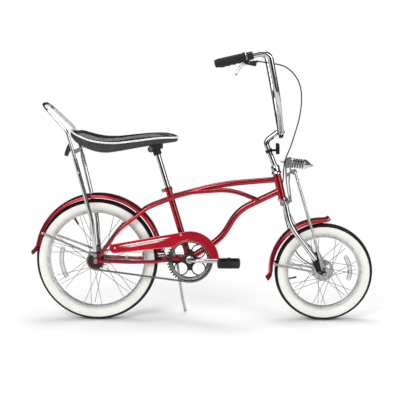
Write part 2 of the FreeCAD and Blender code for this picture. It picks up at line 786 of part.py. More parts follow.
def rear_hub():
    body = new_body("rear_hub")
    spread = size("flange_spread")
    flange = size("rear_flange_radius")
    bore = AXLE_RADIUS + GAP
    turned(body, REAR_AXLE, [(-37.0, bore), (-37.0, 18.0), (-spread - 1.3, 21.0), (-spread - 1.3, flange),
                             (-spread + 1.3, flange), (-spread + 1.3, 23.0), (-10.0, 20.0), (10.0, 20.0),
                             (spread - 1.3, 23.0), (spread - 1.3, flange), (spread + 1.3, flange),
                             (spread + 1.3, 21.0), (37.0, 18.0), (37.0, bore)])


def front_hub():
    body = new_body("front_hub")
    spread = size("flange_spread")
    flange = size("front_flange_radius")
    drum = size("drum_radius")
    bore = AXLE_RADIUS + GAP
    turned(body, FRONT_AXLE, [(-37.0, bore), (-37.0, 11.0), (-spread - 1.3, 14.0), (-spread - 1.3, flange),
                              (-spread + 1.3, flange), (-spread + 1.3, 15.0), (0.0, 14.0), (8.0, 30.0),
                              (spread - 1.3, 36.0), (spread - 1.3, drum), (spread + 1.3, drum),
                              (spread + 1.3, drum - 7.0), (spread + 6.0, drum - 7.0), (spread + 6.0, bore)])


def axle(label, centre, inner_left, inner_right, collars):
    """A fixed axle with its nuts, and its cones and spacers between the dropouts."""
    x, z = centre
    reach = size("axle_reach")
    shape = rod((x, -reach, z), (x, reach, z), AXLE_RADIUS)
    for y0, y1, radius in collars:
        shape = shape.fuse(rod((x, y0, z), (x, y1, z), radius))
    for sign, inner in ((-1, inner_right), (1, inner_left)):
        nut = size("axle_nut_height")
        hexagon = [Vector(float(x) + float(size("axle_nut_radius")) * math.cos(math.radians(60 * i)), sign * float(inner),
                          float(z) + float(size("axle_nut_radius")) * math.sin(math.radians(60 * i)))
                   for i in range(7)]
        block = Part.Face(Part.makePolygon(hexagon)).extrude(Vector(0, sign * float(nut), 0))
        shape = shape.fuse(block)
    return feature(label, shape.removeSplitter())


# Drive

def pitch_radius(teeth):
    return size("chain_pitch") / (2 * sine(180.0 / teeth))


def toothed(label, centre, teeth, bore, y):
    """A toothed disc whose gaps are set round it by a pattern."""
    body = new_body(label)
    thick = size("ring_thickness")
    pitch = pitch_radius(teeth)
    sketch = sketch_on(body, "XZ_Plane", (centre[0], centre[1], y - thick / 2))
    circle(sketch, (0.0, 0.0), pitch + 3.2)
    circle(sketch, (0.0, 0.0), bore)
    pad(body, sketch, thick)
    gap = sketch_on(body, "XZ_Plane", (centre[0], centre[1], y + thick))
    circle(gap, (pitch, 0.0), 4.0)
    notch = pocket(body, gap, thick * 3)
    notch.Midplane = True
    doc.recompute()
    pattern = body.newObject("PartDesign::PolarPattern", label + "_teeth")
    pattern.Originals = [notch]
    pattern.Axis = (sketch, ["N_Axis"])
    pattern.Angle = 360.0
    pattern.Occurrences = int(round(teeth))
    bind(pattern, "Occurrences", teeth)
    body.Tip = pattern
    return body, sketch


RING_SEAT = size("crank_radius") + 6.0
RING_FACE = CHAIN_LINE + size("ring_thickness") / 2


DISC_RADIUS = pitch_radius(size("ring_teeth")) - 14.0
RING_EYE_REACH = 51.0
RING_EYE_RADIUS = 25.0
RING_EYE_RIM = 4.6


def spider_window(turn):
    """The three-sided window between two eyes and the outer ring of the spider, as a start and its runs."""
    outer = float(DISC_RADIUS) - 7.5
    rim = RING_EYE_RADIUS + RING_EYE_RIM
    side = RING_EYE_REACH * math.sqrt(0.5)
    reach = math.acos((outer ** 2 + RING_EYE_REACH ** 2 - rim ** 2) / (2 * outer * RING_EYE_REACH))
    edge = math.pi / 4 - reach
    near = 44.0
    inner = side - math.sqrt(rim ** 2 - (near - side) ** 2)

    def placed(x, y):
        angle = math.radians(turn)
        return (x * math.cos(angle) - y * math.sin(angle), x * math.sin(angle) + y * math.cos(angle))

    def on_rim(sign):
        """The middle of the run beside the eye above or below."""
        first = math.atan2(outer * math.sin(edge) - side, outer * math.cos(edge) - side)
        last = math.atan2(inner - side, near - side)
        middle = (first + last) / 2
        return placed(side + rim * math.cos(middle), sign * (side + rim * math.sin(middle)))

    corners = [placed(outer * math.cos(edge), sign * outer * math.sin(edge)) for sign in (-1, 1)]
    roots = [placed(near, sign * inner) for sign in (-1, 1)]
    return corners[0], [(corners[1], placed(outer, 0.0), outer), (roots[1], on_rim(1), rim),
                        (roots[0], None, None), (corners[0], on_rim(-1), rim)]


def chainring():
    """The toothed ring, and the spider with four eyes that carries it."""
    toothed("chainring", BRACKET, size("ring_teeth"), DISC_RADIUS - 5.0, CHAIN_LINE)
    disc = new_body("chainring_disc")
    face = sketch_on(disc, "XZ_Plane", (BRACKET[0], BRACKET[1], RING_FACE))
    circle(face, (0.0, 0.0), DISC_RADIUS)
    circle(face, (0.0, 0.0), RING_SEAT)
    for turn in (45, 135, 225, 315):
        angle = math.radians(turn)
        circle(face, (RING_EYE_REACH * math.cos(angle), RING_EYE_REACH * math.sin(angle)), RING_EYE_RADIUS)
    for turn in (0, 90, 180, 270):
        start, runs = spider_window(turn)
        run_of(face, start, runs)
    pad(disc, face, 2.4)


def sprocket():
    body, sketch = toothed("rear_sprocket", REAR_AXLE, size("sprocket_teeth"), 12.0, CHAIN_LINE)
    turned(body, REAR_AXLE, [(-CHAIN_LINE - 1.3, 10.0), (-38.5, 10.0), (-38.5, 17.0), (-CHAIN_LINE - 1.3, 17.0)])


def chain():
    """Two plates of the chain's height along the whole loop, with rollers between them on the straight runs."""
    big = float(pitch_radius(size("ring_teeth")))
    small = float(pitch_radius(size("sprocket_teeth")))
    first = Vector(float(REAR_AXLE[0]), 0, float(REAR_AXLE[1]))
    last = Vector(float(BRACKET[0]), 0, float(BRACKET[1]))
    span = last - first
    distance = span.Length
    along = Vector(span).normalize()
    across = Vector(-along.z, 0, along.x)
    lift = math.asin((big - small) / distance)

    def loop(offset):
        ends = []
        for sign in (1, -1):
            normal = across * (sign * math.cos(lift)) - along * math.sin(lift)
            ends.append((first + normal * (small + offset), last + normal * (big + offset)))
        (top_a, top_b), (low_a, low_b) = ends
        wire = Part.Wire([Part.makeLine(top_a, top_b),
                          Part.Arc(top_b, last + along * (big + offset), low_b).toShape(),
                          Part.makeLine(low_b, low_a),
                          Part.Arc(low_a, first - along * (small + offset), top_a).toShape()])
        return wire, ends

    half = float(size("chain_height")) / 2
    ring = Part.Face(loop(half)[0]).cut(Part.Face(loop(-half)[0]))
    gap = float(size("chain_gap")) / 2
    plate = float(size("chain_plate"))
    line = float(CHAIN_LINE)
    shape = None
    for y in (-line - gap - plate, -line + gap):
        side = ring.copy()
        side.translate(Vector(0, y, 0))
        solid = side.extrude(Vector(0, plate, 0))
        shape = solid if shape is None else shape.fuse(solid)
    pitch = float(size("chain_pitch"))
    # The rollers start where the run has risen clear of the teeth
    rear_free, front_free = [math.sqrt(2 * radius * 7.6) + 1.0 for radius in (small, big)]
    for start, end in loop(0)[1]:
        run = end - start
        count = int((run.Length - rear_free - front_free) // pitch)
        step = Vector(run).normalize() * pitch
        base = start + Vector(run).normalize() * rear_free
        for i in range(count + 1):
            at = base + step * i
            shape = shape.fuse(rod((at.x, -line - gap, at.z), (at.x, -line + gap, at.z), 3.6))
    return feature("chain", shape)


CRANK_FACE = size("crank_side") + size("crank_radius") + 0.6


def crank():
    """A one-piece crank: the spindle and both arms are one bent bar with an eye at each end."""
    side = size("crank_side")
    reach = size("crank_length")
    x, z = BRACKET
    bend_out = size("bracket_half_width") + 22.0
    path = [(x + reach, -side, z), (x + 30.0, -side, z), (x, -bend_out, z), (x, 0, z), (x, bend_out, z),
            (x - 30.0, side, z), (x - reach, side, z)]
    bar = swept(path, [0, 22.0, 14.0, 0, 14.0, 22.0, 0], size("crank_radius"))
    eyes = [rod((x - reach * sign, sign * (side - 10.0), z), (x - reach * sign, sign * CRANK_FACE, z), 13.0)
            for sign in (-1, 1)]
    shoulder = rod((x, -size("bracket_half_width") - 1.5, z), (x, -RING_FACE, z), RING_SEAT)
    feature("crank", joined([bar, shoulder] + eyes))


def pedal(name, sign):
    """A moulded platform pedal on its spindle."""
    x = BRACKET[0] - size("crank_length") * sign
    z = BRACKET[1]
    inner = CRANK_FACE + 6.0
    length = float(size("pedal_length"))
    width = float(size("pedal_width"))
    thick = float(size("pedal_thickness"))
    block = Part.makeBox(length, width, thick, Vector(float(x) - length / 2, 0, float(z) - thick / 2))
    y0 = float(inner)
    block.translate(Vector(0, y0 if sign > 0 else -y0 - width, 0))
    edges = [edge for edge in block.Edges
             if abs(edge.tangentAt(edge.FirstParameter).y) > 0.9 or abs(edge.tangentAt(edge.FirstParameter).z) > 0.9]
    block = block.makeFillet(5.0, edges)
    for shift in (-1, 1):
        window = Part.makeBox(length * 0.26, width - 18.0, thick + 2.0,
                              Vector(float(x) + shift * length * 0.24 - length * 0.13, 0, float(z) - thick / 2 - 1.0))
        window.translate(Vector(0, y0 + 9.0 if sign > 0 else -y0 - width + 9.0, 0))
        block = block.cut(window)
    spindle = rod((x, sign * (CRANK_FACE + GAP), z), (x, sign * (inner + 4.0), z), 7.0)
    barrel = rod((x, sign * (inner + 1.0), z), (x, sign * (inner + width - 1.0), z), thick / 2 - 1.5)
    return feature("pedal_" + name, joined([block, spindle, barrel]))


# Cover, fenders and their stays

def round_bracket(angle, radius):
    """A place about the bottom bracket, its angle from forward to up."""
    turn = math.radians(angle)
    return (BRACKET[0] + radius * math.cos(turn), BRACKET[1] + radius * math.sin(turn))


def chain_guard(seat_room, arches):
    outer = size("guard_outer_radius")
    inner = size("guard_inner_radius")
    rear = (REAR_AXLE[0] + 62.0, REAR_AXLE[1] + 51.0)
    upper_rear = (rear[0] + 4.0, rear[1] + 18.5)
    lower_rear = (rear[0] + 14.0, rear[1] - 17.5)
    half = root((upper_rear[0] - lower_rear[0]) * (upper_rear[0] - lower_rear[0])
                + (upper_rear[1] - lower_rear[1]) * (upper_rear[1] - lower_rear[1])) / 2
    tail = half * 1.1
    bulge = half * (1.1 - math.sqrt(1.1 * 1.1 - 1.0))
    middle = ((upper_rear[0] + lower_rear[0]) / 2, (upper_rear[1] + lower_rear[1]) / 2)
    along = unit(lower_rear, upper_rear)
    tip = (middle[0] - along[1] * bulge, middle[1] + along[0] * bulge)
    body = new_body("chain_guard")
    sketch = sketch_on(body, "XZ_Plane", (0.0, 0.0, size("guard_side")))
    runs = [
        (round_bracket(100.0, outer), None, None),
        (round_bracket(2.0, outer), round_bracket(51.0, outer), outer),
        (round_bracket(3.0, inner), None, None),
        (round_bracket(138.0, inner), round_bracket(70.0, inner), inner),
        (lower_rear, None, None),
        (upper_rear, tip, tail),
    ]
    run_of(sketch, upper_rear, runs)
    pad(body, sketch, size("guard_thickness"))

    x, z = seat_point(109.5)
    front = rod((x, 0, z), (x, -size("guard_side") + 0.1, z), 4.0).cut(seat_room.Shape)
    tab = upright_plate([(rear[0] + 18.0, rear[1] + 12.0), (rear[0] + 12.0, rear[1] + 1.0),
                         (rear[0] - 20.0, rear[1] + 19.0), (rear[0] - 14.0, rear[1] + 30.0)],
                        -size("guard_side") + 0.1, 2.0).cut(arches.Shape)
    kept = max(tab.Solids, key=lambda solid: solid.CenterOfMass.x)
    feature("guard_brackets", Part.makeCompound(front.Solids + [kept]))


def crown_profile(half_width, radius, base=0.0):
    """The section of a fender as (y, distance) points, its distances counted from a base radius."""
    drop = size("fender_drop")
    thick = size("fender_thickness")
    inner = half_width - thick
    top = radius - base
    return [(-half_width, top - drop), (-half_width + 2.0, top - 6.0), (-half_width * 0.45, top),
            (half_width * 0.45, top), (half_width - 2.0, top - 6.0), (half_width, top - drop),
            (inner, top - drop), (inner - 2.0, top - 6.0 - thick), (half_width * 0.45 - 0.5, top - thick),
            (-half_width * 0.45 + 0.5, top - thick), (-inner + 2.0, top - 6.0 - thick), (-inner, top - drop)]


CROWN_CORNERS = [0, 7.0, 20.0, 20.0, 7.0, 0, 0, 6.0, 19.0, 19.0, 6.0, 0]


def fender(label, centre, radius, half_width, front_angle, rear_angle, flares):
    """A crowned sheet turned about the wheel's middle. A flared end curls away about a centre outside it."""
    body = new_body(label)
    turned(body, centre, crown_profile(half_width, radius), CROWN_CORNERS, angles=(front_angle, rear_angle))
    for end_angle, curl, sweep in flares:
        out = radius + curl
        at = (centre[0] + out * sine(end_angle), centre[1] + out * cosine(end_angle))
        sketch = sketch_on(body, "YZ_Plane", (0.0, at[1], at[0]), Rotation(Vector(1, 0, 0), float(end_angle)))
        outline(sketch, crown_profile(half_width, radius, out), CROWN_CORNERS)
        made = body.newObject("PartDesign::Revolution", label + "_flare")
        made.Profile = sketch
        made.ReferenceAxis = (sketch, ["H_Axis"])
        made.Angle = sweep
        made.Reversed = end_angle > 0
    return body


def strap(start, end, width, thick):
    """A flat strap between two points, its width upright."""
    start = vector(start)
    end = vector(end)
    along = end - start
    side = Vector(along.z, 0, -along.x)
    side.normalize()
    out = along.cross(side)
    out.normalize()
    corners = [start + side * (width / 2) - out * (thick / 2), start - side * (width / 2) - out * (thick / 2),
               start - side * (width / 2) + out * (thick / 2), start + side * (width / 2) + out * (thick / 2)]
    face = Part.Face(Part.makePolygon(corners + [corners[0]]))
    return face.extrude(along)


# Seat, its post and the sissy bar

def seat():
    top = seat_point(size("seat_tube_length"))
    head = seat_point(size("seat_tube_length") + size("seat_post_rise"))
    low = seat_point(size("seat_tube_length") - 90.0)
    post = new_body("seat_post")
    base = sketch_on(post, "XY_Plane", (low[0], 0.0, low[1]), Rotation(Vector(0, 1, 0), -float(SEAT_TILT)))
    circle(base, (0.0, 0.0), size("seat_post_radius"))
    pad(post, base, size("seat_post_rise") + 90.0)

    collar = seat_point(size("seat_tube_length") - 16.0)
    clamp = new_body("seat_clamp")
    face = sketch_on(clamp, "XY_Plane", (collar[0], 0.0, collar[1]), Rotation(Vector(0, 1, 0), -float(SEAT_TILT)))
    circle(face, (0.0, 0.0), size("seat_tube_radius") + 3.4)
    circle(face, (0.0, 0.0), size("seat_tube_radius") + 0.1)
    pad(clamp, face, 14.0)
    lug = sketch_on(clamp, "XY_Plane", (collar[0], 0.0, collar[1]), Rotation(Vector(0, 1, 0), -float(SEAT_TILT)))
    back = size("seat_tube_radius")
    outline(lug, [(-back - 1.5, -7.0), (-back - 14.0, -6.0), (-back - 14.0, 6.0), (-back - 1.5, 7.0)], [0, 4.0, 4.0, 0])
    pad(clamp, lug, 14.0)

    # Side outline of the cushion, from the rear top to the nose and back below
    x, z = SEAT_HEEL
    side = [(-98.0, 544.0), (-40.0, 528.0), (70.0, 505.0), (230.0, 524.0), (340.0, 516.0), (342.0, 494.0),
            (170.0, 470.0), (40.0, 449.0), (-60.0, 478.0), (-100.0, 515.0)]
    radii = [6.0, 60.0, 160.0, 160.0, 6.0, 6.0, 200.0, 70.0, 60.0, 10.0]
    body = doc.addObject("PartDesign::Body", "cushion_side")
    sketch = sketch_on(body, "XZ_Plane", (0.0, 0.0, 0.0))
    outline(sketch, [(x + px, z + pz) for px, pz in side], radii)
    pad(body, sketch, size("seat_half_width") * 2.4, both_ways=True)
    plan = doc.addObject("PartDesign::Body", "cushion_plan")
    half = size("seat_half_width")
    nose = size("seat_nose_half_width")
    face = sketch_on(plan, "XY_Plane", (0.0, 0.0, z + 380.0))
    outline(face, [(x - 105.0, -half * 0.9), (x + 30.0, -half), (x + 180.0, -half * 0.72), (x + 343.0, -nose),
                   (x + 343.0, nose), (x + 180.0, half * 0.72), (x + 30.0, half), (x - 105.0, half * 0.9)],
            [30.0, 120.0, 200.0, 26.0, 26.0, 200.0, 120.0, 30.0])
    pad(plan, face, 220.0)
    common = doc.addObject("Part::Common", "seat_cushion_common")
    common.Base = body
    common.Tool = plan
    keep(common, "seat_cushion")


def seat_bracket():
    """The clamp on the post's top and the saddle plate under the cushion."""
    length = size("seat_tube_length") + size("seat_post_rise")
    points = [seat_point(length + along) for along in (-18.0, 11.0, -30.0, 0.3)]
    clamp, top, below, stop = [(x, 0, z) for x, z in points]
    x, z = SEAT_HEEL
    saddle = upright_plate([(x + 222.0, z + 458.0), (x + 276.0, z + 462.0), (x + 276.0, z + 484.5),
                            (x + 222.0, z + 477.0)], -20.0, 40.0)
    shape = joined([rod(clamp, top, size("seat_post_radius") + 6.0), saddle])
    feature("seat_bracket", shape.cut(rod(below, stop, size("seat_post_radius") + 0.1)))


def strut_path(sign):
    x, z = REAR_AXLE
    out = DROPOUT_OUTSIDE + size("sissy_strut_radius")
    return [(x - 1.0, sign * out, z + 42.0), (x - 9.0, sign * (out + 11.0), z + 165.0),
            (SEAT_HEEL[0] - 72.0, sign * size("sissy_side"), SEAT_HEEL[1] + 428.0)]


def sissy_bar():
    """Two struts from the axle, with the loop pushed into their tops and a cross strap behind the seat."""
    x, z = REAR_AXLE
    inside = size("sissy_loop_radius") + 0.15
    struts = []
    sockets = []
    for sign in (-1, 1):
        path = strut_path(sign)
        deep = between(path[2], path[1], 0.17)
        above = between(path[2], path[1], -0.05)
        sockets.append((deep, above))
        y = DROPOUT_OUTSIDE + 0.1
        plate = upright_plate([(x - 10.0, z - 10.0), (x + 8.0, z - 10.0), (x + 8.0, z + 50.0), (x - 10.0, z + 50.0)],
                              y if sign > 0 else -y - 4.0, 4.0)
        holes = joined([rod((x, sign * 50, z), (x, sign * 90, z), AXLE_RADIUS + 0.2),
                        rod((EYELET[0], sign * 50, EYELET[1]), (EYELET[0], sign * 66, EYELET[1]), EYELET_RADIUS),
                        rod(between(deep, above, -0.02), above, inside)])
        struts.append(joined([swept(path, [0, 380.0, 0], size("sissy_strut_radius")), plate]).cut(holes))
    feature("sissy_struts", Part.makeCompound(struts))
    x, z = SEAT_HEEL
    side = size("sissy_side")
    (right_low, right_top), (left_low, left_top) = sockets
    path = [right_low, right_top, (x - 103.0, -side, z + 540.0), (x - 206.0, -70.0, z + 646.0),
            (x - 206.0, 70.0, z + 646.0), (x - 103.0, side, z + 540.0), left_top, left_low]
    loop = swept(path, [0, 60.0, 50.0, 55.0, 55.0, 50.0, 60.0, 0], size("sissy_loop_radius"))
    feature("sissy_loop", loop)
    strap_x = x - 80.6
    bar = Part.makeBox(4.0, float(side) * 2, 16.0, Vector(float(strap_x), -float(side), float(z) + 444.0))
    tab = upright_plate([(strap_x + 3.0, z + 449.0), (x - 44.0, z + 469.6), (x - 12.0, z + 460.4), (x - 12.0, z + 463.4),
                         (x - 44.0, z + 472.7), (strap_x + 3.0, z + 455.0)], -20.0, 40.0)
    whole = joined([bar, tab]).cut(loop)
    inner = [solid for solid in whole.Solids if abs(solid.CenterOfMass.y) < 50]
    feature("sissy_strap", Part.makeCompound(inner))
    reflector = new_body("rear_reflector")
    face = sketch_on(reflector, "YZ_Plane", (0.0, z + 457.0, x - 120.0), Rotation(Vector(1, 0, 0), 20.0))
    circle(face, (0.0, 0.0), 26.0)
    pad(reflector, face, 12.0)
    post = sketch_on(reflector, "YZ_Plane", (0.0, z + 454.0, x - 112.0))
    circle(post, (0.0, 0.0), 4.0)
    pad(reflector, post, 31.2)


# Fork, stem and handlebar

CROWN_TOP = -CUP_HEIGHT + 2.0
CROWN_FRONT = 24.0
FORK_PLATE_SIDE = 59.0
LINK_SIDE = 63.2
ROD_PLATE_SIDE = 66.4
LEG_PIVOT = (FRONT_AXLE[0] - 19.0, FRONT_AXLE[1] + 10.0)
ROD_PIVOT = (FRONT_AXLE[0] - 4.0, FRONT_AXLE[1] + 20.0)
FRONT_FENDER_CENTRE = (FRONT_AXLE[0] - 7.8, FRONT_AXLE[1] + 4.9)
STAY_SIDE = 57.6


def flat_link(points, inner, thickness, sign):
    """A plate of the XZ plane on one side, from its inner distance outwards."""
    return upright_plate(points, inner if sign > 0 else -inner - thickness, thickness)


def pin(place, inner, outer, radius, sign):
    return rod((place[0], sign * inner, place[1]), (place[0], sign * outer, place[1]), radius)


def crown():
    """The crown plate with the steerer on it."""
    body = new_body("fork_crown")
    deep = size("crown_depth")
    corners = [steering_point(CROWN_TOP, -14.0), steering_point(CROWN_TOP, CROWN_FRONT),
               steering_point(CROWN_TOP - deep, CROWN_FRONT), steering_point(CROWN_TOP - deep, -14.0)]
    face = sketch_on(body, "XZ_Plane", (0.0, 0.0, 0.0))
    outline(face, corners, [4.0, 6.0, 6.0, 4.0])
    width = size("leg_side") * 2 + 26.0
    pad(body, face, width, both_ways=True)
    steerer = size("head_length") + CUP_HEIGHT + 41.0
    tilted_turning(body, CROWN_TOP - 7.0, 0.0, [(0.0, 0.0), (size("steerer_radius"), 0.0),
                                               (size("steerer_radius"), steerer), (0.0, steerer)])
    nut = new_body("headset_nut")
    bore = size("steerer_radius") + 0.05
    tilted_turning(nut, size("head_length") + CUP_HEIGHT + 1.0, 0.0,
                   [(bore, 0.0), (18.0, 0.0), (18.0, 14.0), (16.0, 22.0), (bore, 22.0)])
    return upright_plate(corners, -width / 2, width)


def leg_path(sign):
    x, z = FRONT_AXLE
    side = size("leg_side")
    top = steering_point(CROWN_TOP - 4.0, 8.0)
    return [(top[0], sign * side, top[1]), (x - 143.0, sign * (side + 8.0), z + 202.0),
            (x - 37.0, sign * (side + 14.0), z + 59.0)]


def fork_legs(crown_room):
    """Legs, the plates at their ends and the links that carry the axle."""
    x, z = FRONT_AXLE
    ends = [(x - 48.0, z + 60.0), (x - 27.0, z + 66.0), (x - 10.0, z + 12.0), (x - 18.0, z + 1.0), (x - 29.0, z + 6.0)]
    plates = [flat_link(ends, FORK_PLATE_SIDE, 4.0, sign) for sign in (-1, 1)]
    legs = [swept(leg_path(sign), [0, 200.0, 0], size("leg_radius")).cut(crown_room).cut(plate)
            for sign, plate in zip((-1, 1), plates)]
    feature("fork_legs", Part.makeCompound([max(leg.Solids, key=lambda solid: solid.Volume) for leg in legs]))
    feature("fork_ends", Part.makeCompound([plate.cut(pin(LEG_PIVOT, 50.0, 80.0, 4.2, sign))
                                            for sign, plate in zip((-1, 1), plates)]))
    triangle = [LEG_PIVOT, ROD_PIVOT, FRONT_AXLE]
    links = []
    for sign in (-1, 1):
        rounds = [pin(place, LINK_SIDE, LINK_SIDE + 3.0, 9.0, sign) for place in triangle]
        web = flat_link([(LEG_PIVOT[0] - 5.0, LEG_PIVOT[1] + 7.0), (ROD_PIVOT[0] - 4.0, ROD_PIVOT[1] + 8.0),
                         (ROD_PIVOT[0] + 8.5, ROD_PIVOT[1]), (x + 9.0, z), (x - 5.0, z - 7.5),
                         (LEG_PIVOT[0] - 5.0, LEG_PIVOT[1] - 7.0)], LINK_SIDE, 3.0, sign)
        link = joined(rounds + [web]).cut(pin(FRONT_AXLE, 50.0, 80.0, AXLE_RADIUS + 0.2, sign))
        pins = [pin(LEG_PIVOT, FORK_PLATE_SIDE - 0.3, LINK_SIDE + 3.0, 4.0, sign),
                pin(LEG_PIVOT, LINK_SIDE + 2.9, LINK_SIDE + 6.0, 6.0, sign),
                pin(ROD_PIVOT, LINK_SIDE + 2.9, ROD_PLATE_SIDE + 3.2, 4.0, sign),
                pin(ROD_PIVOT, ROD_PLATE_SIDE + 3.1, ROD_PLATE_SIDE + 6.0, 6.0, sign)]
        links.append(joined([link] + pins))
    feature("fork_links", Part.makeCompound(links))


YOKE = steering_point(95.3, 74.7)
SPRING_BACK = 135.0
SPRING_FRONT = 68.0


def springer_rods():
    """The yoke bar with a slim rod down each side to the links."""
    x, z = FRONT_AXLE
    pieces = [rod((YOKE[0], -24.0, YOKE[1]), (YOKE[0], 24.0, YOKE[1]), 5.0)]
    low = [(x - 25.0, z + 71.0), (x - 12.0, z + 75.0), (x + 3.0, z + 22.0), (x - 3.0, z + 12.0), (x - 12.0, z + 16.0)]
    for sign in (-1, 1):
        path = [(YOKE[0], sign * 18.0, YOKE[1]), (YOKE[0] + 10.0, sign * 50.0, YOKE[1] - 32.0),
                (x - 33.0, sign * 72.0, z + 120.0), (x - 19.0, sign * 72.0, z + 66.0)]
        bar = swept(path, [0, 20.0, 100.0, 0], size("rod_radius"))
        eye = rod((YOKE[0], sign * 14.0, YOKE[1]), (YOKE[0], sign * 22.0, YOKE[1]), 9.0)
        plate = flat_link(low, ROD_PLATE_SIDE, 3.0, sign).cut(pin(ROD_PIVOT, 50.0, 80.0, 4.2, sign))
        pieces += [bar, eye, plate]
    feature("springer_rods", joined(pieces))


def spring_line(distance):
    """A place along the spring's bolt, counted from the tower's front."""
    start = steering_point(SPRING_BACK, SPRING_FRONT)
    turn = math.radians(7.0)
    return Vector(float(start[0]) + distance * math.cos(turn), 0, float(start[1]) - distance * math.sin(turn))


def springer_tower():
    """The bracket on the crown's front that holds the spring and hangs the rods' yoke."""
    # Along the steering axis, ahead of it
    border = [(-23.0, 24.1), (60.0, 29.0), (128.0, 39.9), (158.0, 50.8), (157.0, 76.0), (115.3, 60.8), (106.0, 62.0),
              (104.0, 81.0), (90.0, 83.0), (84.0, 70.0), (94.0, 56.0), (60.0, 44.0), (-23.0, 36.0)]
    lower = [(2.0, 29.0), (62.0, 34.0), (84.0, 39.0), (84.0, 47.0), (60.0, 39.5), (2.0, 33.0)]
    upper = [(94.0, 41.0), (118.0, 45.0), (118.0, 56.0), (106.0, 56.0), (97.0, 52.0)]
    body = new_body("springer_tower_stock")
    face = sketch_on(body, "XZ_Plane", (0.0, 0.0, 0.0))
    outline(face, [steering_point(along, forward) for along, forward in border],
            [0, 0, 0, 5.0, 5.0, 0, 0, 6.0, 6.0, 6.0, 0, 0, 0])
    pad(body, face, 26.0, both_ways=True)
    for window in (lower, upper):
        opening = sketch_on(body, "XZ_Plane", (0.0, 0.0, 0.0))
        outline(opening, [steering_point(along, forward) for along, forward in window])
        pocket(body, opening, 40.0)
    bolt_room = helper("bolt_room", rod(spring_line(-60.0), spring_line(10.0), 4.2))
    yoke_room = helper("yoke_room", rod((YOKE[0], -30.0, YOKE[1]), (YOKE[0], 30.0, YOKE[1]), 5.2))
    cut_away("springer_tower", body, [bolt_room, yoke_room])


def spring():
    """The coil, and its bolt with both seats, the cone and the nuts."""
    length = float(size("spring_length"))
    wire = float(size("spring_wire"))
    start = spring_line(3.2 + wire)
    turn = Rotation(Vector(0, 1, 0), 97.0)
    rise = length - 2 * wire
    helix = Part.makeHelix(rise / float(size("spring_turns")), rise, float(size("spring_radius")) - wire)
    helix.Placement = Placement(start, turn)
    first = helix.Edges[0]
    section = Part.Wire([Part.makeCircle(wire, first.valueAt(first.FirstParameter),
                                         first.tangentAt(first.FirstParameter))])
    feature("spring", Part.Wire(helix.Edges).makePipeShell([section], True, True))
    front = 3.2 + length
    ahead = spring_line(1.0) - spring_line(0.0)
    pieces = [rod(spring_line(-44.0), spring_line(front + 34.0), 4.0),
              rod(spring_line(0.2), spring_line(3.0), 21.0),
              Part.makeCone(21.0, 8.0, 22.0, spring_line(front + 0.2), ahead),
              rod(spring_line(front + 22.0), spring_line(front + 30.0), 7.0),
              rod(spring_line(-32.0), spring_line(-24.5), 7.0)]
    feature("spring_bolt", joined(pieces))


BAR_CLAMP = steering_point(size("head_length") + 165.4, 54.3)


def stem_path():
    base = steering_point(size("head_length") + CUP_HEIGHT + 20.0)
    bend = steering_point(size("head_length") + 139.6, -16.3)
    return [(base[0], 0, base[1]), (bend[0], 0, bend[1]), (BAR_CLAMP[0] - 12.0, 0, BAR_CLAMP[1] - 2.0)]


def stem():
    x, z = BAR_CLAMP
    neck = swept(stem_path(), [0, 26.0, 0], size("stem_radius"))
    clamp = rod((x, -22.0, z), (x, 22.0, z), size("bar_radius") + 4.5)
    lug = Part.makeBox(14.0, 30.0, 24.0, Vector(float(x) - 7.0, -15.0, float(z) - 26.0))
    room = rod((x, -40.0, z), (x, 40.0, z), size("bar_radius") + 0.1)
    low, high = [steering_point(along) for along in (size("head_length"), size("head_length") + CUP_HEIGHT + 24.1)]
    below = rod((low[0], 0, low[1]), (high[0], 0, high[1]), 30.0)
    feature("stem", joined([neck, clamp, lug]).cut(room).cut(below))


def handlebar():
    """The tall bar with a grip on each end. Gives the right grip's end and the way towards the bend."""
    x, z = BAR_CLAMP
    rise = size("bar_rise")
    half = [(x, 0.0, z), (x, 70.0, z), (x - 20.0, 235.0, z + rise * 0.45), (x - 54.0, 262.0, z + rise),
            (x - 259.0, 292.0, z + rise - 46.0)]
    other = [(px, -py, pz) for px, py, pz in half[1:]][::-1]
    bar = swept(other + half[1:], [0, 34.0, 130.0, 60.0, 60.0, 130.0, 34.0, 0], size("bar_radius"))
    feature("handlebar", bar)
    length = float(size("grip_length"))
    grips = []
    for sign in (1, -1):
        tip = vector((half[4][0], sign * half[4][1], half[4][2]))
        ahead = (vector((half[3][0], sign * half[3][1], half[3][2])) - tip).normalize()
        sleeve = rod(tip - ahead * 4.0, tip + ahead * length, size("grip_radius"))
        grips.append(sleeve.cut(rod(tip - ahead * 0.3, tip + ahead * (length + 4.0), size("bar_radius") + 0.1)))
    feature("grips", Part.makeCompound(grips))
    return tip, ahead


def brake_lever(tip, ahead):
    """The clamp, perch and blade on the right of the bar. Gives the place and way where the cable leaves."""
    start = tip + ahead * (float(size("grip_length")) + 6.0)
    clamp = rod(start, start + ahead * 24.0, size("bar_radius") + 5.0)
    perch = Part.makeBox(26.0, 20.0, 16.0, Vector(start.x + 1.0, start.y - 6.0, start.z - 28.0))
    blade = swept([start + Vector(10.0, 4.0, -18.0), start + Vector(-20.0, -2.0, -34.0),
                   start + Vector(-42.0, -8.0, -70.0)], [0, 24.0, 0], 5.0)
    leave = start + Vector(44.0, 18.0, -18.0)
    barrel = rod(start + Vector(20.0, 8.0, -20.0), leave, 4.2)
    room = rod(start - ahead * 20.0, start + ahead * 40.0, size("bar_radius") + 0.1)
    feature("brake_lever", joined([clamp, perch, blade, barrel]).cut(room))
    return leave, (Vector(24.0, 10.0, 2.0)).normalize()


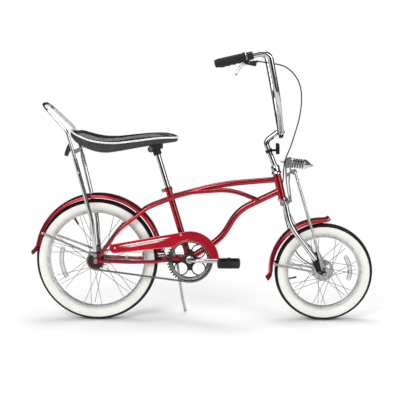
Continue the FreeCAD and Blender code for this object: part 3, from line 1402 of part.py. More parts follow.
def fenders():
    rear = size("rear_fender_half_width")
    front = size("front_fender_half_width")
    fender("rear_fender", REAR_FENDER_CENTRE, size("rear_fender_radius"), rear, 84.0, 78.0, [(-78.0, 46.0, 46.0)])
    fender("front_fender", FRONT_FENDER_CENTRE, size("front_fender_radius"), front, 1.0, 90.0,
           [(-90.0, 34.0, 50.0), (1.0, 30.0, 44.0)])
    bolt = EYELET_RADIUS - 0.2
    shapes = []
    for sign in (-1, 1):
        out = DROPOUT_OUTSIDE + 5.3
        low = (EYELET[0], sign * (out + 1.1), EYELET[1])
        high = (REAR_AXLE[0] - 222.5, sign * (rear + 1.3), REAR_AXLE[1] + 114.0)
        pieces = [strap(low, high, 9.0, 2.0), rod((low[0], sign * (out - 1.0), low[2]), (low[0], sign * (out + 1.0), low[2]), 6.0),
                  rod((low[0], sign * (DROPOUT_INSIDE - 2.0), low[2]), (low[0], sign * (out + 1.0), low[2]), bolt),
                  rod((low[0], sign * (out + 0.9), low[2]), (low[0], sign * (out + 4.0), low[2]), 5.0),
                  rod(high, (high[0], sign * (rear + 5.0), high[2]), 4.5)]
        shapes.append(joined(pieces))
    feature("rear_fender_stays", Part.makeCompound(shapes))
    x, z = FRONT_AXLE
    shapes = []
    for sign in (-1, 1):
        low = (x - 4.0, sign * STAY_SIDE, z + 1.0)
        high = (x - 205.0, sign * (front + 1.4), z + 36.0)
        eye = rod((x, sign * (STAY_SIDE - 1.0), z), (x, sign * (STAY_SIDE + 1.0), z), 9.0)
        head = rod(high, (high[0], sign * (front + 5.0), high[2]), 4.5)
        hole = joined([rod((x, sign * 40.0, z), (x, sign * 80.0, z), AXLE_RADIUS + 0.2),
                       rod((x, sign * 40.0, z), (x, sign * (STAY_SIDE - 1.1), z), 9.5)])
        shapes.append(joined([strap(low, high, 9.0, 2.0), eye, head]).cut(hole))
    under = [steering_point(CROWN_TOP - size("crown_depth") - 0.1, forward) for forward in (0.0, 7.0)]
    centre = FRONT_FENDER_CENTRE
    toward = unit(centre, under[0])
    reach = size("front_fender_radius") + 0.3
    foot = (centre[0] + toward[0] * reach, centre[1] + toward[1] * reach)
    hanger = upright_plate(under + [(foot[0] + toward[1] * 3.0, foot[1] - toward[0] * 3.0), foot], -12.0, 24.0)
    shapes.append(hanger)
    feature("front_fender_stays", Part.makeCompound(shapes))


def front_reflector():
    """A plate that faces forward, on an arm from a clamp round the stem."""
    x, z = BAR_CLAMP
    low, corner, end = stem_path()
    clamp = band(between(low, corner, 0.56), between(low, corner, 0.68), size("stem_radius") + 0.1, 3.4)
    arm = Part.makeBox(22.0, 10.0, 9.0, Vector(float(x) - 38.0, -5.0, float(z) - 81.0))
    plate = Part.makeBox(13.0, 76.0, 42.0, Vector(float(x) - 19.0, -38.0, float(z) - 91.0))
    plate = plate.makeFillet(3.0, plate.Edges)
    room = rod(between(low, corner, 0.3), between(low, corner, 0.9), size("stem_radius") + 0.1)
    feature("front_reflector", joined([clamp, arm.cut(room), plate]))


def brake_cable(leave, ahead):
    """One cable from the lever, down in front of the head tube and outside the left leg, to the hub brake."""
    x, z = FRONT_AXLE
    # Along the steering axis, ahead of it, out to the left
    beside_head = [(155.0, 46.0, -28.0), (118.0, 32.0, -12.0), (82.0, 24.0, 14.0), (46.0, 12.0, 44.0),
                   (10.0, 4.0, 64.0), (-30.0, 0.0, 74.0)]
    head = [steering_point(along, forward) for along, forward, out in beside_head]
    # Ahead of the bar's clamp, out to the left, above it as a share of the bar's rise
    beside_bar = [(-33.0, -222.0, 0.8545), (3.0, -197.0, 0.8328), (39.0, -165.0, 0.7585), (67.0, -125.0, 0.6409),
                  (80.0, -90.0, 0.4985), (81.0, -64.0, 0.3375), (74.0, -48.0, 0.1703), (58.0, -40.0, -0.003),
                  (41.0, -36.0, -0.1765)]
    rise = float(size("bar_rise"))
    route = [leave + ahead * 0.2]
    route += [(BAR_CLAMP[0] + forward, out, BAR_CLAMP[1] + rise * share) for forward, out, share in beside_bar]
    route += [(px, out, pz) for (px, pz), (along, forward, out) in zip(head, beside_head)]
    route += [(x - 158.0, 77.0, z + 222.0), (x - 143.0, 78.0, z + 169.0), (x - 128.0, 74.0, z + 117.0),
              (x - 111.0, 66.0, z + 72.0), (x - 84.0, 53.0, z + 42.0), (x - 50.0, 42.6, z + 24.0)]
    points = [vector(point) for point in route]
    radii = [0.0] * len(points)
    for i in range(1, len(points) - 1):
        before = points[i] - points[i - 1]
        after = points[i + 1] - points[i]
        radii[i] = 0.45 * min(before.Length, after.Length) / math.tan(before.getAngle(after) / 2)
    wire = rounded_wire(points, radii)
    made = feature("brake_cable", swept(points, radii, size("cable_radius")))
    expected = math.pi * float(size("cable_radius")) ** 2 * wire.Length
    print("cable length %.1f, volume %.0f, section by length %.0f" % (wire.Length, made.Shape.Volume, expected))
    print("cable bend radii", [round(radius) for radius in radii[1:-1]])


def brake_plate():
    """The hub brake's cover with its lever for the cable and the arm clipped to the left leg."""
    x, z = FRONT_AXLE
    spread = size("flange_spread")
    radius = size("drum_radius") - 7.0
    cover = rod((x, spread + 7.0, z), (x, spread + 10.0, z), radius)
    lever = strap((x - 10.0, 38.5, z + 16.0), (x - 56.0, 38.5, z + 25.0), 10.0, 3.0)
    corner, low = leg_path(1)[1:]
    clip = band(between(low, corner, 0.14), between(low, corner, 0.21), size("leg_radius") + 0.1, 1.8)
    at = between(low, corner, 0.175)
    arm = strap((x - 8.0, 38.5, z + 28.0), (at.x, at.y - float(size("leg_radius")) - 1.0, at.z), 11.0, 3.0)
    bore = rod((x, 30.0, z), (x, 60.0, z), AXLE_RADIUS + 0.1)
    leg_room = rod(between(low, corner, -0.1), between(low, corner, 0.4), size("leg_radius") + 0.1)
    feature("front_brake_plate", joined([cover, lever, arm.cut(leg_room), clip]).cut(bore))


# Side stand and coaster brake arm

STAND_PIVOT = Vector(330.0, 42.0, 236.0)
STAND_KNEE = Vector(352.0, 52.0, 75.0)
STAND_AXIS = Vector(0, 1, 0)
FOOT_RADIUS = 6.8


def floor_height(tyre, lean):
    """Where the leaning tyre touches the floor."""
    shape = tyre.Shape.copy()
    shape.rotate(Vector(0, 0, 0), Vector(1, 0, 0), -lean)
    return shape.optimalBoundingBox(False, False).ZMin


def side_stand(tyre):
    lean = float(size("lean_angle"))
    turn = math.radians(lean)
    foot_y = STAND_PIVOT.y + float(size("stand_reach"))
    foot_z = (floor_height(tyre, lean) + FOOT_RADIUS + foot_y * math.sin(turn)) / math.cos(turn)
    foot = Vector(360.0, foot_y, foot_z)
    radius = size("stand_radius")
    axis = STAND_AXIS
    down = STAND_KNEE - STAND_PIVOT
    sideways = (down - axis * down.dot(axis)).normalize()
    leg = swept([STAND_PIVOT + sideways * 6.0, STAND_KNEE, foot], [0, 30.0, 0], radius)
    eye = rod(STAND_PIVOT - axis * 7.0, STAND_PIVOT + axis * 7.0, 9.0)
    pin_room = rod(STAND_PIVOT - axis * 30.0, STAND_PIVOT + axis * 30.0, 4.4)
    feature("side_stand", joined([eye, leg, Part.makeSphere(FOOT_RADIUS, foot)]).cut(pin_room))
    top = BRACKET[1] - 10.5
    plate = Part.makeBox(34.0, 70.6, 6.0, Vector(313.0, -36.0, float(top) - 6.0))
    cheek = Part.makeBox(18.0, 6.6, float(top) - 2.0 - STAND_PIVOT.z, Vector(321.0, 28.0, STAND_PIVOT.z))
    boss = rod(STAND_PIVOT - axis * 14.0, STAND_PIVOT - axis * 7.4, 9.0)
    pivot_pin = rod(STAND_PIVOT - axis * 10.5, STAND_PIVOT + axis * 10.5, 4.0)
    head = rod(STAND_PIVOT + axis * 7.4, STAND_PIVOT + axis * 10.5, 6.5)
    stay_rooms = [rod((290.0, side * 29.5, 255.4), (388.0, side * 25.0, 259.0), size("stay_radius") + 0.7)
                  for side in (-1, 1)]
    housing = joined([plate, cheek, boss]).cut(stay_rooms[0]).cut(stay_rooms[1])
    feature("stand_bracket", joined([housing, pivot_pin, head]))
    print("stand pivot", STAND_PIVOT, "axis", axis, "foot", foot)


def coaster_arm():
    """The hub brake's arm, clipped to the left chain stay."""
    x, z = REAR_AXLE
    arm = strap((x - 6.0, 49.0, z - 4.0), (x + 122.0, 49.0, z - 20.0), 13.0, 3.0)
    start = vector((x + 15.0, DROPOUT_SIDE + 2.0, z + 1.0))
    end = vector((x + 150.0, 50.0, z - 5.0))
    clip = band(between(start, end, 0.72), between(start, end, 0.81), size("stay_radius") + 0.1, 1.8)
    room = rod(start, end, size("stay_radius") + 0.1)
    hole = rod((x, 40, z), (x, 60, z), AXLE_RADIUS + 0.2)
    feature("coaster_arm", joined([arm.cut(room), clip]).cut(hole))


def build():
    head_room = head_envelope()
    head_tube()
    bracket_room = bracket_shell()
    seat_room = seat_tube(bracket_room)
    down_room = main_tubes(head_room, seat_room, bracket_room)
    slots = dropout_room()
    dropouts()
    arches = arch_tubes(down_room, slots)
    stays = chain_stays(bracket_room, slots)
    doc.recompute()
    frame_bridges(arches, stays)
    rear_bed = wheel("rear", REAR_AXLE, REAR_RADIUS)
    front_bed = wheel("front", FRONT_AXLE, FRONT_RADIUS)
    rear_hub()
    front_hub()
    doc.recompute()
    spokes("rear", REAR_AXLE, (size("rear_flange_radius"), size("rear_flange_radius")), rear_bed)
    spokes("front", FRONT_AXLE, (size("front_flange_radius"), size("drum_radius")), front_bed)
    nut_side = DROPOUT_OUTSIDE + 4.2
    axle("rear_axle", REAR_AXLE, nut_side, nut_side, [(-55.0, -37.6, 8.6), (37.6, 47.0, 11.0), (51.0, 55.0, 9.0)])
    axle("front_axle", FRONT_AXLE, 66.4, 66.4, [(-56.4, -37.6, 9.0), (37.6, 56.4, 9.0)])
    chainring()
    sprocket()
    chain()
    crank()
    pedal("right", -1)
    pedal("left", 1)
    chain_guard(seat_room, arches)
    fenders()
    seat()
    seat_bracket()
    sissy_bar()
    crown_room = crown()
    fork_legs(crown_room)
    springer_rods()
    springer_tower()
    spring()
    stem()
    leave, ahead = brake_lever(*handlebar())
    front_reflector()
    brake_cable(leave, ahead)
    brake_plate()
    doc.recompute()
    side_stand(doc.getObject("rear_tyre"))
    coaster_arm()


def finish():
    """Checks every object, leans the bicycle on its stand and writes one file for each sub-part."""
    doc.recompute()
    faulty = [item.Name for item in doc.Objects if "Invalid" in item.State or "Error" in item.State]
    if faulty:
        raise ValueError("failed objects: " + ", ".join(faulty))
    lean = Placement(Vector(0, 0, 0), Rotation(Vector(1, 0, 0), -float(size("lean_angle"))))
    whole = FreeCAD.BoundBox()
    for label, item in nodes.items():
        if item.Shape.isNull() or not item.Shape.isValid():
            raise ValueError("bad shape: " + label)
        item.Placement = lean.multiply(item.Placement)
        whole.add(item.Shape.optimalBoundingBox(False, False))
    shift = Vector(-(whole.XMin + whole.XMax) / 2, -(whole.YMin + whole.YMax) / 2, -whole.ZMin)
    move = Placement(shift, Rotation())
    os.makedirs("parts", exist_ok=True)
    for label, item in nodes.items():
        item.Placement = move.multiply(item.Placement)
        item.Shape.exportStep(os.path.join("parts", label + ".step"))
    print("shift", shift, "box", whole)
    print(len(nodes), "sub-parts")


build()
finish()
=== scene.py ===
import json
import math

import bmesh
import bpy
import numpy as np
from bpy.props import FloatProperty, FloatVectorProperty, PointerProperty
from mathutils import Matrix


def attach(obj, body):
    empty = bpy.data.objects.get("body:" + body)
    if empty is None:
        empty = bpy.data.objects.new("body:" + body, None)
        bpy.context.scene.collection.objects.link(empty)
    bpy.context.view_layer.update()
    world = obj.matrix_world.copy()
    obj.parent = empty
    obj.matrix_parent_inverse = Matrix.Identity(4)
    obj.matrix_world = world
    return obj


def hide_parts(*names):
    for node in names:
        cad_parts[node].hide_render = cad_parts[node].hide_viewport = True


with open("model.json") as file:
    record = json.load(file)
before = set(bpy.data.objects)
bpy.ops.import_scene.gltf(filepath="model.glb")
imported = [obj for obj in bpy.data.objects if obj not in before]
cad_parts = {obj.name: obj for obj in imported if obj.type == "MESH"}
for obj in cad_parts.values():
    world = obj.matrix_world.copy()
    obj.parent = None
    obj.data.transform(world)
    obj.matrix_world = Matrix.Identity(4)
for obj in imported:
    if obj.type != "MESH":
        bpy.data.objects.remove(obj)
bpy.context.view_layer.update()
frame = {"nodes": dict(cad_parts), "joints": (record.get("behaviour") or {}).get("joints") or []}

bl_info = {
    "name": "Chopper bicycle finish",
    "version": (1, 0, 0),
    "blender": (4, 5, 0),
    "location": "3D View > Sidebar > Chopper",
    "description": "Finishes, tyres, seat, chain and small parts around the packed chopper bicycle",
    "category": "Object",
}

# Places are worked out with the bicycle upright, in millimetres: X forward from the rear axle, Y to the
# rider's left, Z above the ground. placed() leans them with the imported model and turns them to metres.
MM = 0.001
JOINTS = {joint["name"]: joint for joint in frame["joints"]}
AXLE_WAY = JOINTS["rear_wheel_spin"]["axis"]
LEAN = math.atan2(-AXLE_WAY[2], AXLE_WAY[1])
LEAN_TURN = np.array([[1, 0, 0], [0, math.cos(LEAN), math.sin(LEAN)], [0, -math.sin(LEAN), math.cos(LEAN)]])
REAR_RADIUS = 254.0
SHIFT = np.array(JOINTS["rear_wheel_spin"]["pos_m"]) - LEAN_TURN @ np.array([0, 0, REAR_RADIUS]) * MM


def placed(points):
    """Leans upright millimetre points and turns them to the frame's metres."""
    return np.asarray(points, float) @ LEAN_TURN.T * MM + SHIFT


def upright(place):
    """The upright millimetre place of a point of the frame."""
    return (np.asarray(place, float) - SHIFT) @ LEAN_TURN / MM


REAR = upright(JOINTS["rear_wheel_spin"]["pos_m"])
FRONT = upright(JOINTS["front_wheel_spin"]["pos_m"])
BRACKET = upright(JOINTS["crank_spin"]["pos_m"])
PEDALS = {side: upright(JOINTS["pedal_%s_spin" % side]["pos_m"]) for side in ("right", "left")}
HEAD = upright(JOINTS["steering"]["pos_m"])
HEAD_TILT = math.radians(13.0)
SEAT_TILT = math.radians(16.4)
SIDE = np.array([0.0, 1.0, 0.0])


def steering_point(along, forward, out=0.0):
    """A place along the steering axis from the head tube's lower end, ahead of it and out to the left."""
    x = HEAD[0] - math.sin(HEAD_TILT) * along + math.cos(HEAD_TILT) * forward
    z = HEAD[2] + math.cos(HEAD_TILT) * along + math.sin(HEAD_TILT) * forward
    return np.array([x, out, z])


def seat_point(along, forward, out=0.0):
    """A place along the seat tube from the bottom bracket, ahead of it and out to the left."""
    x = BRACKET[0] - 5.0 - math.sin(SEAT_TILT) * along + math.cos(SEAT_TILT) * forward
    z = BRACKET[2] + math.cos(SEAT_TILT) * along + math.sin(SEAT_TILT) * forward
    return np.array([x, out, z])


# Sizes and colours that a user would change

def length(name, note, default):
    return FloatProperty(name=name, description=note, default=default * MM, min=0.0, unit="LENGTH",
                         precision=4)


def colour(name, note, default):
    return FloatVectorProperty(name=name, description=note, default=default, size=3, min=0.0, max=1.0,
                               subtype="COLOR")


class ChopperSizes(bpy.types.PropertyGroup):
    rear_tyre: length("Rear tyre", "Rear axle to the tread", REAR_RADIUS - 0.8)
    front_tyre: length("Front tyre", "Front axle to the tread", 202.2)
    tyre_half_width: length("Tyre half width", "Half the section of both tyres", 27.0)
    tyre_half_height: length("Tyre half height", "Half the height of both tyres' section", 23.6)
    tread_depth: length("Tread depth", "Depth of the grooves in the tread", 2.2)
    seat_half_width: length("Seat half width", "Half the seat at its widest", 92.0)
    piping: length("Piping", "Half the thickness of the seat's piping", 2.3)
    grip_length: length("Grip length", "Rubber grip along the bar", 116.0)
    grip_radius: length("Grip radius", "Rubber grip, middle to its ribs", 18.4)
    chain_pitch: length("Chain pitch", "From pin to pin of the chain", 12.7)
    reflector_width: length("Spoke reflector", "Width of the spoke reflectors", 18.0)


class ChopperColours(bpy.types.PropertyGroup):
    paint: colour("Paint", "Frame, fenders and chain guard", (0.37, 0.003, 0.016))
    paint_deep: colour("Deep paint", "Shaded tone in the frame's paint", (0.23, 0.0015, 0.009))
    chrome: colour("Chrome", "Bright plated parts", (0.62, 0.62, 0.61))
    white_rubber: colour("White rubber", "Tyre sidewalls", (0.80, 0.79, 0.74))
    black_rubber: colour("Black rubber", "Tread and grips", (0.009, 0.009, 0.0095))
    vinyl: colour("Vinyl", "Top of the seat", (0.007, 0.007, 0.0075))
    # Greyer than the top: painted sheen on the side band's black vinyl
    vinyl_side_painted_sheen: colour("Side vinyl", "Side band of the seat", (0.028, 0.028, 0.027))
    piping: colour("Piping", "Piping round the seat", (0.85, 0.85, 0.83))
    stripe: colour("Stripe", "Lines on the chain guard", (0.86, 0.85, 0.82))
    lens: colour("Red lens", "Rear reflector", (0.42, 0.004, 0.008))
    amber: colour("Amber lens", "Pedal reflectors", (0.85, 0.25, 0.01))


def sizes():
    return bpy.context.scene.chopper_sizes


def colours():
    return bpy.context.scene.chopper_colours


def mm(value):
    """A size of the panel in millimetres."""
    return value / MM


# Surfaces as arrays: each is its points and a list of face arrays with the same number of corners

def unit(ways):
    """Ways drawn to a length of 1."""
    ways = np.asarray(ways, float)
    return ways / np.linalg.norm(ways, axis=-1, keepdims=True)


def turns(steps):
    """Angles evenly round a circle."""
    return np.arange(steps) * 2 * math.pi / steps


def shell(points, wrap_rows=False):
    """A surface from a grid of points whose columns close on themselves. Open rows end in a flat cap."""
    rows, columns = points.shape[:2]
    row, column = np.meshgrid(np.arange(rows if wrap_rows else rows - 1), np.arange(columns), indexing="ij")
    after, beside = (row + 1) % rows, (column + 1) % columns
    here, there = row * columns, after * columns
    corners = np.stack([here + column, there + column, there + beside, here + beside], axis=-1)
    groups = [corners.reshape(-1, 4)]
    if not wrap_rows:
        ring = np.arange(columns)
        groups.append(np.stack([ring[::-1], ring + (rows - 1) * columns]))
    return points.reshape(-1, 3), groups


def across_to(way, start=(0.0, 0.0, 1.0)):
    """Two directions square to each way: the part of start across it, and the third one."""
    way, start = unit(way), np.asarray(start, float)
    first = unit(start - way * (way @ start)[..., None])
    return first, np.cross(way, first)


def lathe(profile, base, way, steps, closed=False):
    """Turns a profile of (distance along, radius) about the line from base along way: each of its points goes
    round a circle of two directions square to way."""
    way = unit(way)
    first, second = across_to(way, (0.0, 0.0, 1.0) if abs(way[2]) < 0.9 else (1.0, 0.0, 0.0))
    angle = turns(steps)[:, None]
    along, radius = np.asarray(profile, float).T[:, :, None, None]
    ring = np.cos(angle) * first + np.sin(angle) * second
    return shell(np.asarray(base, float) + along * way + radius * ring, wrap_rows=closed)


def tube(path, radius, sides=12, start=(0.0, 0.0, 1.0), closed=False, flatten=1.0):
    """Carries a round or flattened ring along a path. The radius may change along it."""
    path = np.asarray(path, float)
    way = np.roll(path, -1, axis=0) - np.roll(path, 1, axis=0) if closed else np.gradient(path, axis=0)
    first, second = across_to(way, start)
    angle = turns(sides)[:, None]
    radius = np.broadcast_to(radius, (len(path),))[:, None, None]
    ring = np.cos(angle) * first[:, None] * flatten + np.sin(angle) * second[:, None]
    return shell(path[:, None] + ring * radius, wrap_rows=closed)


def slab(outline, base, first, second, thickness):
    """A plate: a flat outline given along two directions from base, carried through a thickness."""
    outline, first, second = np.asarray(outline, float), unit(first), unit(second)
    face = np.asarray(base, float) + outline[:, :1] * first + outline[:, 1:] * second
    return shell(np.stack([face, face + np.cross(first, second) * thickness]))


def rounded(width, height, radius, steps=4):
    """The outline of a rectangle with round corners, about its middle."""
    angle = np.linspace(0, math.pi / 2, steps)
    corner = np.stack([np.cos(angle), np.sin(angle)], axis=-1) * radius
    reach = np.array([width / 2 - radius, height / 2 - radius])
    quarter = np.array([[0, 1], [-1, 0]])
    return np.concatenate([corner @ np.linalg.matrix_power(quarter, number) + reach * sign
                           for number, sign in enumerate([(1, 1), (-1, 1), (-1, -1), (1, -1)])])


def gathered(surfaces):
    """Several surfaces as one."""
    points = []
    groups = {}
    start = 0
    for own_points, own_groups in surfaces:
        for group in own_groups:
            groups.setdefault(group.shape[1], []).append(group + start)
        points.append(own_points)
        start += len(own_points)
    return np.concatenate(points), [np.concatenate(group) for group in groups.values()]


def repeated(surface, places, axes):
    """The same surface at many places, each with its own three directions as rows."""
    points, groups = surface
    count = len(places)
    spread = np.einsum("ni,kij->knj", points, axes) + np.asarray(places)[:, None]
    offsets = np.arange(count) * len(points)
    return spread.reshape(-1, 3), [(group[None] + offsets[:, None, None]).reshape(-1, group.shape[1])
                                   for group in groups]


def smooth_line(knots, at):
    """A curve through (place, value) knots: a cubic between each two, sloped as their neighbours lie."""
    place, value = np.asarray(knots, float).T
    slope = np.gradient(value, place)
    index = np.clip(np.searchsorted(place, at) - 1, 0, len(place) - 2)
    run = place[index + 1] - place[index]
    t = np.clip((at - place[index]) / run, 0, 1)
    return ((2 * t ** 3 - 3 * t ** 2 + 1) * value[index] + (t ** 3 - 2 * t ** 2 + t) * run * slope[index]
            + (3 * t ** 2 - 2 * t ** 3) * value[index + 1] + (t ** 3 - t ** 2) * run * slope[index + 1])


def mesh_of(name, surface):
    """A mesh from a surface, its faces outwards."""
    points, groups = surface
    corners = np.concatenate([group.ravel() for group in groups]).astype(np.int32)
    counts = np.concatenate([np.full(len(group), group.shape[1]) for group in groups])
    mesh = bpy.data.meshes.new(name)
    mesh.vertices.add(len(points))
    mesh.vertices.foreach_set("co", placed(points).astype(np.float32).ravel())
    mesh.loops.add(len(corners))
    mesh.loops.foreach_set("vertex_index", corners)
    mesh.polygons.add(len(counts))
    mesh.polygons.foreach_set("loop_start", (np.cumsum(counts) - counts).astype(np.int32))
    mesh.update(calc_edges=True)
    mesh.validate()
    outward = bmesh.new()
    outward.from_mesh(mesh)
    bmesh.ops.recalc_face_normals(outward, faces=outward.faces)
    outward.to_mesh(mesh)
    outward.free()
    return mesh


def linked(name, data):
    """A new object in the scene."""
    made = bpy.data.objects.new(name, data)
    bpy.context.scene.collection.objects.link(made)
    return made


def piece(name, surface, looks, body, bevel=0.0, sharp=35.0, stands_for=(), tone=None):
    """An object that rides on a body. looks names its finishes, and tone gives the number of each face's."""
    mesh = mesh_of(name, surface)
    made = linked(name, mesh)
    for own in looks.split():
        mesh.materials.append(finish(own))
    if tone is not None:
        mesh.polygons.foreach_set("material_index", np.asarray(tone, np.int32))
    mesh.shade_smooth()
    mesh.set_sharp_from_angle(angle=math.radians(sharp))
    if bevel:
        edge = made.modifiers.new("Bevel", "BEVEL")
        edge.width = bevel * MM
        edge.segments = 2
        edge.limit_method = "ANGLE"
        edge.harden_normals = True
    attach(made, body)
    if stands_for:
        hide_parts(*stands_for)
    return made


# Finishes

class Nodes:
    """Lays nodes out in a tree."""

    def __init__(self, tree):
        self.tree = tree

    def put(self, socket, value):
        """Gives a socket a value or another node's output. Colours are opaque."""
        if isinstance(value, bpy.types.NodeSocket):
            self.tree.links.new(value, socket)
        else:
            socket.default_value = (*value[:3], 1.0) if socket.type == "RGBA" else value

    def node(self, kind, inputs=None, **settings):
        """A new node with its settings. Its inputs go by name or number."""
        made = self.tree.nodes.new(kind)
        for key, value in settings.items():
            setattr(made, key, value)
        for key, value in (inputs or {}).items():
            self.put(made.inputs[key], value)
        return made

    def sum(self, first, second, operation="ADD"):
        return self.node("ShaderNodeMath", {0: first, 1: second}, operation=operation).outputs[0]

    def times(self, first, second):
        return self.sum(first, second, "MULTIPLY")


class Finish(Nodes):
    """A material laid out from noise in the object's own coordinates."""

    def __init__(self, name):
        self.material = bpy.data.materials.new(name)
        self.material.use_nodes = True
        super().__init__(self.material.node_tree)
        self.shader = self.tree.nodes["Principled BSDF"]
        self.where = self.node("ShaderNodeTexCoord").outputs["Object"]

    def shade(self, **values):
        """Sets the shader's sockets by their names in small letters, and gives the material."""
        for key, value in values.items():
            self.put(self.shader.inputs[key.replace("_", " ").title().replace("Ior", "IOR")], value)
        return self.material

    def noise(self, scale, detail=3.0, stretch=None):
        where = self.where
        if stretch:
            where = self.node("ShaderNodeMapping", {"Scale": stretch, "Vector": where}).outputs["Vector"]
        made = self.node("ShaderNodeTexNoise", {"Scale": scale, "Detail": detail, "Vector": where})
        return made.outputs["Fac"]

    def cells(self, scale, feature="F1"):
        made = self.node("ShaderNodeTexVoronoi", {"Scale": scale, "Vector": self.where}, feature=feature)
        return made.outputs["Distance"]

    def spread(self, value, low=0.0, high=1.0, start=0.35, end=0.65):
        """Stretches a value between start and end to low and high."""
        ends = {"Value": value, "From Min": start, "From Max": end, "To Min": low, "To Max": high}
        return self.node("ShaderNodeMapRange", ends).outputs["Result"]

    def blend(self, share, first, second):
        return self.node("ShaderNodeMix", {0: share, 6: first, 7: second}, data_type="RGBA").outputs[2]

    def bump(self, height, strength, distance, before=None):
        inputs = {"Height": height, "Strength": strength, "Distance": distance * MM}
        made = self.node("ShaderNodeBump", inputs)
        if before is not None:
            self.put(made.inputs["Normal"], before)
        return made.outputs["Normal"]

    def worn(self, rubbing, high, start, end):
        """The share of wear on outer edges, broken up by another value."""
        sharp = self.spread(self.node("ShaderNodeNewGeometry").outputs["Pointiness"], start=0.53, end=0.6)
        return self.spread(self.times(sharp, rubbing), 0.0, high, start, end)


def tinted(value, factor):
    return tuple(min(1.0, part * factor) for part in value)


def hue(name, factor=1.0):
    """A colour of the panel, made darker or lighter."""
    return tinted(getattr(colours(), name), factor)


def metallic_paint(name, metal, painted_light_gain):
    """Candy paint: two reds under a clear coat, with fine flakes and paler worn edges. Over 1,
    painted_light_gain brightens both reds as painted light.
    """
    made = Finish(name)
    base = made.blend(made.spread(made.noise(7.0)), hue("paint_deep", painted_light_gain), hue("paint", painted_light_gain))
    flakes = made.spread(made.cells(2600.0), start=0.1, end=0.9)
    base = made.blend(made.spread(flakes, 0.0, 0.16, 0.0, 1.0), base, hue("paint", 1.7))
    base = made.blend(made.worn(made.noise(90.0), 0.18, 0.3, 0.7), base, (0.4, 0.05, 0.05))
    rough = made.spread(made.noise(24.0, 5.0), 0.19, 0.28)
    return made.shade(base_color=base, metallic=metal, roughness=rough, coat_weight=0.8, coat_roughness=0.04,
                      specular_ior_level=0.3, normal=made.bump(made.noise(55.0, 2.0), 0.06, 0.1))


def plated(name, tone, low, high):
    """Bright plating: slight haze in patches, fine polishing marks and soft ripples."""
    made = Finish(name)
    haze = made.noise(16.0, 5.0)
    marks = made.noise(340.0, 2.0, (1.0, 1.0, 6.0))
    rough = made.spread(made.sum(made.times(haze, 0.8), made.times(marks, 0.2)), low, high)
    return made.shade(base_color=made.blend(made.spread(haze), tinted(tone, 0.84), tone), metallic=1.0,
                      roughness=rough, normal=made.bump(made.noise(38.0, 1.0), 0.03, 0.1))


def brushed(name, tone, low, high):
    """Zinc plated or bare steel: mottled tone and fine grain."""
    made = Finish(name)
    grain = made.noise(420.0, 4.0)
    mottle = made.spread(made.sum(made.cells(60.0), made.times(grain, 0.4)), start=0.2, end=0.9)
    return made.shade(base_color=made.blend(mottle, tinted(tone, 0.7), tone), metallic=1.0,
                      roughness=made.spread(grain, low, high), normal=made.bump(grain, 0.15, 0.08))


def black_paint(name, tone, low, high, coat):
    """Black enamel over steel, greyer on its worn edges."""
    made = Finish(name)
    cloud = made.noise(30.0, 4.0)
    base = made.blend(made.spread(cloud), tinted(tone, 0.7), tinted(tone, 1.5))
    base = made.blend(made.worn(made.noise(160.0), 0.2, 0.3, 0.7), base, (0.1, 0.1, 0.1))
    return made.shade(base_color=base, metallic=0.0, roughness=made.spread(cloud, low, high),
                      coat_weight=coat, coat_roughness=0.12, specular_ior_level=0.3,
                      normal=made.bump(made.noise(120.0, 2.0), 0.12, 0.12))


def moulded(name, tone, low, high, grain=500.0, depth=0.12):
    """Moulded rubber or plastic: fine grain, dust in patches and faint rubbing on edges."""
    made = Finish(name)
    dust = made.noise(22.0, 6.0)
    base = made.blend(made.spread(dust, start=0.4, end=0.75), tone, tinted(tone, 1.9))
    base = made.blend(made.worn(dust, 0.4, 0.2, 0.6), base, tinted(tone, 3.0))
    return made.shade(base_color=base, roughness=made.spread(dust, low, high), specular_ior_level=0.3,
                      normal=made.bump(made.cells(grain), 0.35, depth))


def white_rubber():
    """Whitewall rubber: warm and cool patches, faint grey scuffs and a fine moulded grain."""
    made = Finish("white_sidewall")
    cloud = made.noise(12.0, 5.0)
    scuffs = made.spread(made.noise(70.0, 8.0), 0.0, 0.35, 0.58, 0.72)
    base = made.blend(made.spread(cloud), hue("white_rubber", 0.94), hue("white_rubber", 1.03))
    return made.shade(base_color=made.blend(scuffs, base, (0.55, 0.54, 0.5)), specular_ior_level=0.4,
                      roughness=made.spread(cloud, 0.5, 0.66),
                      normal=made.bump(made.noise(260.0, 3.0), 0.2, 0.12))


def seat_vinyl():
    """Black vinyl: glossy above the piping, matt on the side band, whose greyer tone is painted sheen, with a
    pebbled grain.
    """
    made = Finish("seat_vinyl")
    over = made.node("ShaderNodeAttribute", attribute_name="over_piping").outputs["Fac"]
    share = made.spread(over, start=-0.4, end=0.4)
    creases = made.noise(46.0, 5.0)
    patches = made.spread(creases)
    top = made.blend(patches, hue("vinyl"), hue("vinyl", 2.2))
    # The side band's greyer tone is painted sheen on the same black vinyl
    side = made.blend(patches, hue("vinyl_side_painted_sheen"), hue("vinyl_side_painted_sheen", 1.45))
    rough = made.sum(made.times(made.spread(creases, 0.2, 0.32), share),
                     made.times(made.spread(creases, 0.42, 0.6), made.sum(1.0, share, "SUBTRACT")))
    grain = made.bump(made.cells(620.0, "SMOOTH_F1"), 0.08, 0.04)
    return made.shade(base_color=made.blend(share, side, top), roughness=rough, specular_ior_level=0.42,
                      normal=made.bump(creases, 0.06, 0.3, grain))


def piping_cord():
    """White vinyl cord: a faint mottle and a fine grain."""
    made = Finish("white_piping")
    cloud = made.noise(80.0, 4.0)
    return made.shade(base_color=made.blend(made.spread(cloud), hue("piping", 0.88), hue("piping")),
                      roughness=made.spread(cloud, 0.35, 0.5),
                      normal=made.bump(made.noise(600.0, 2.0), 0.25, 0.1))


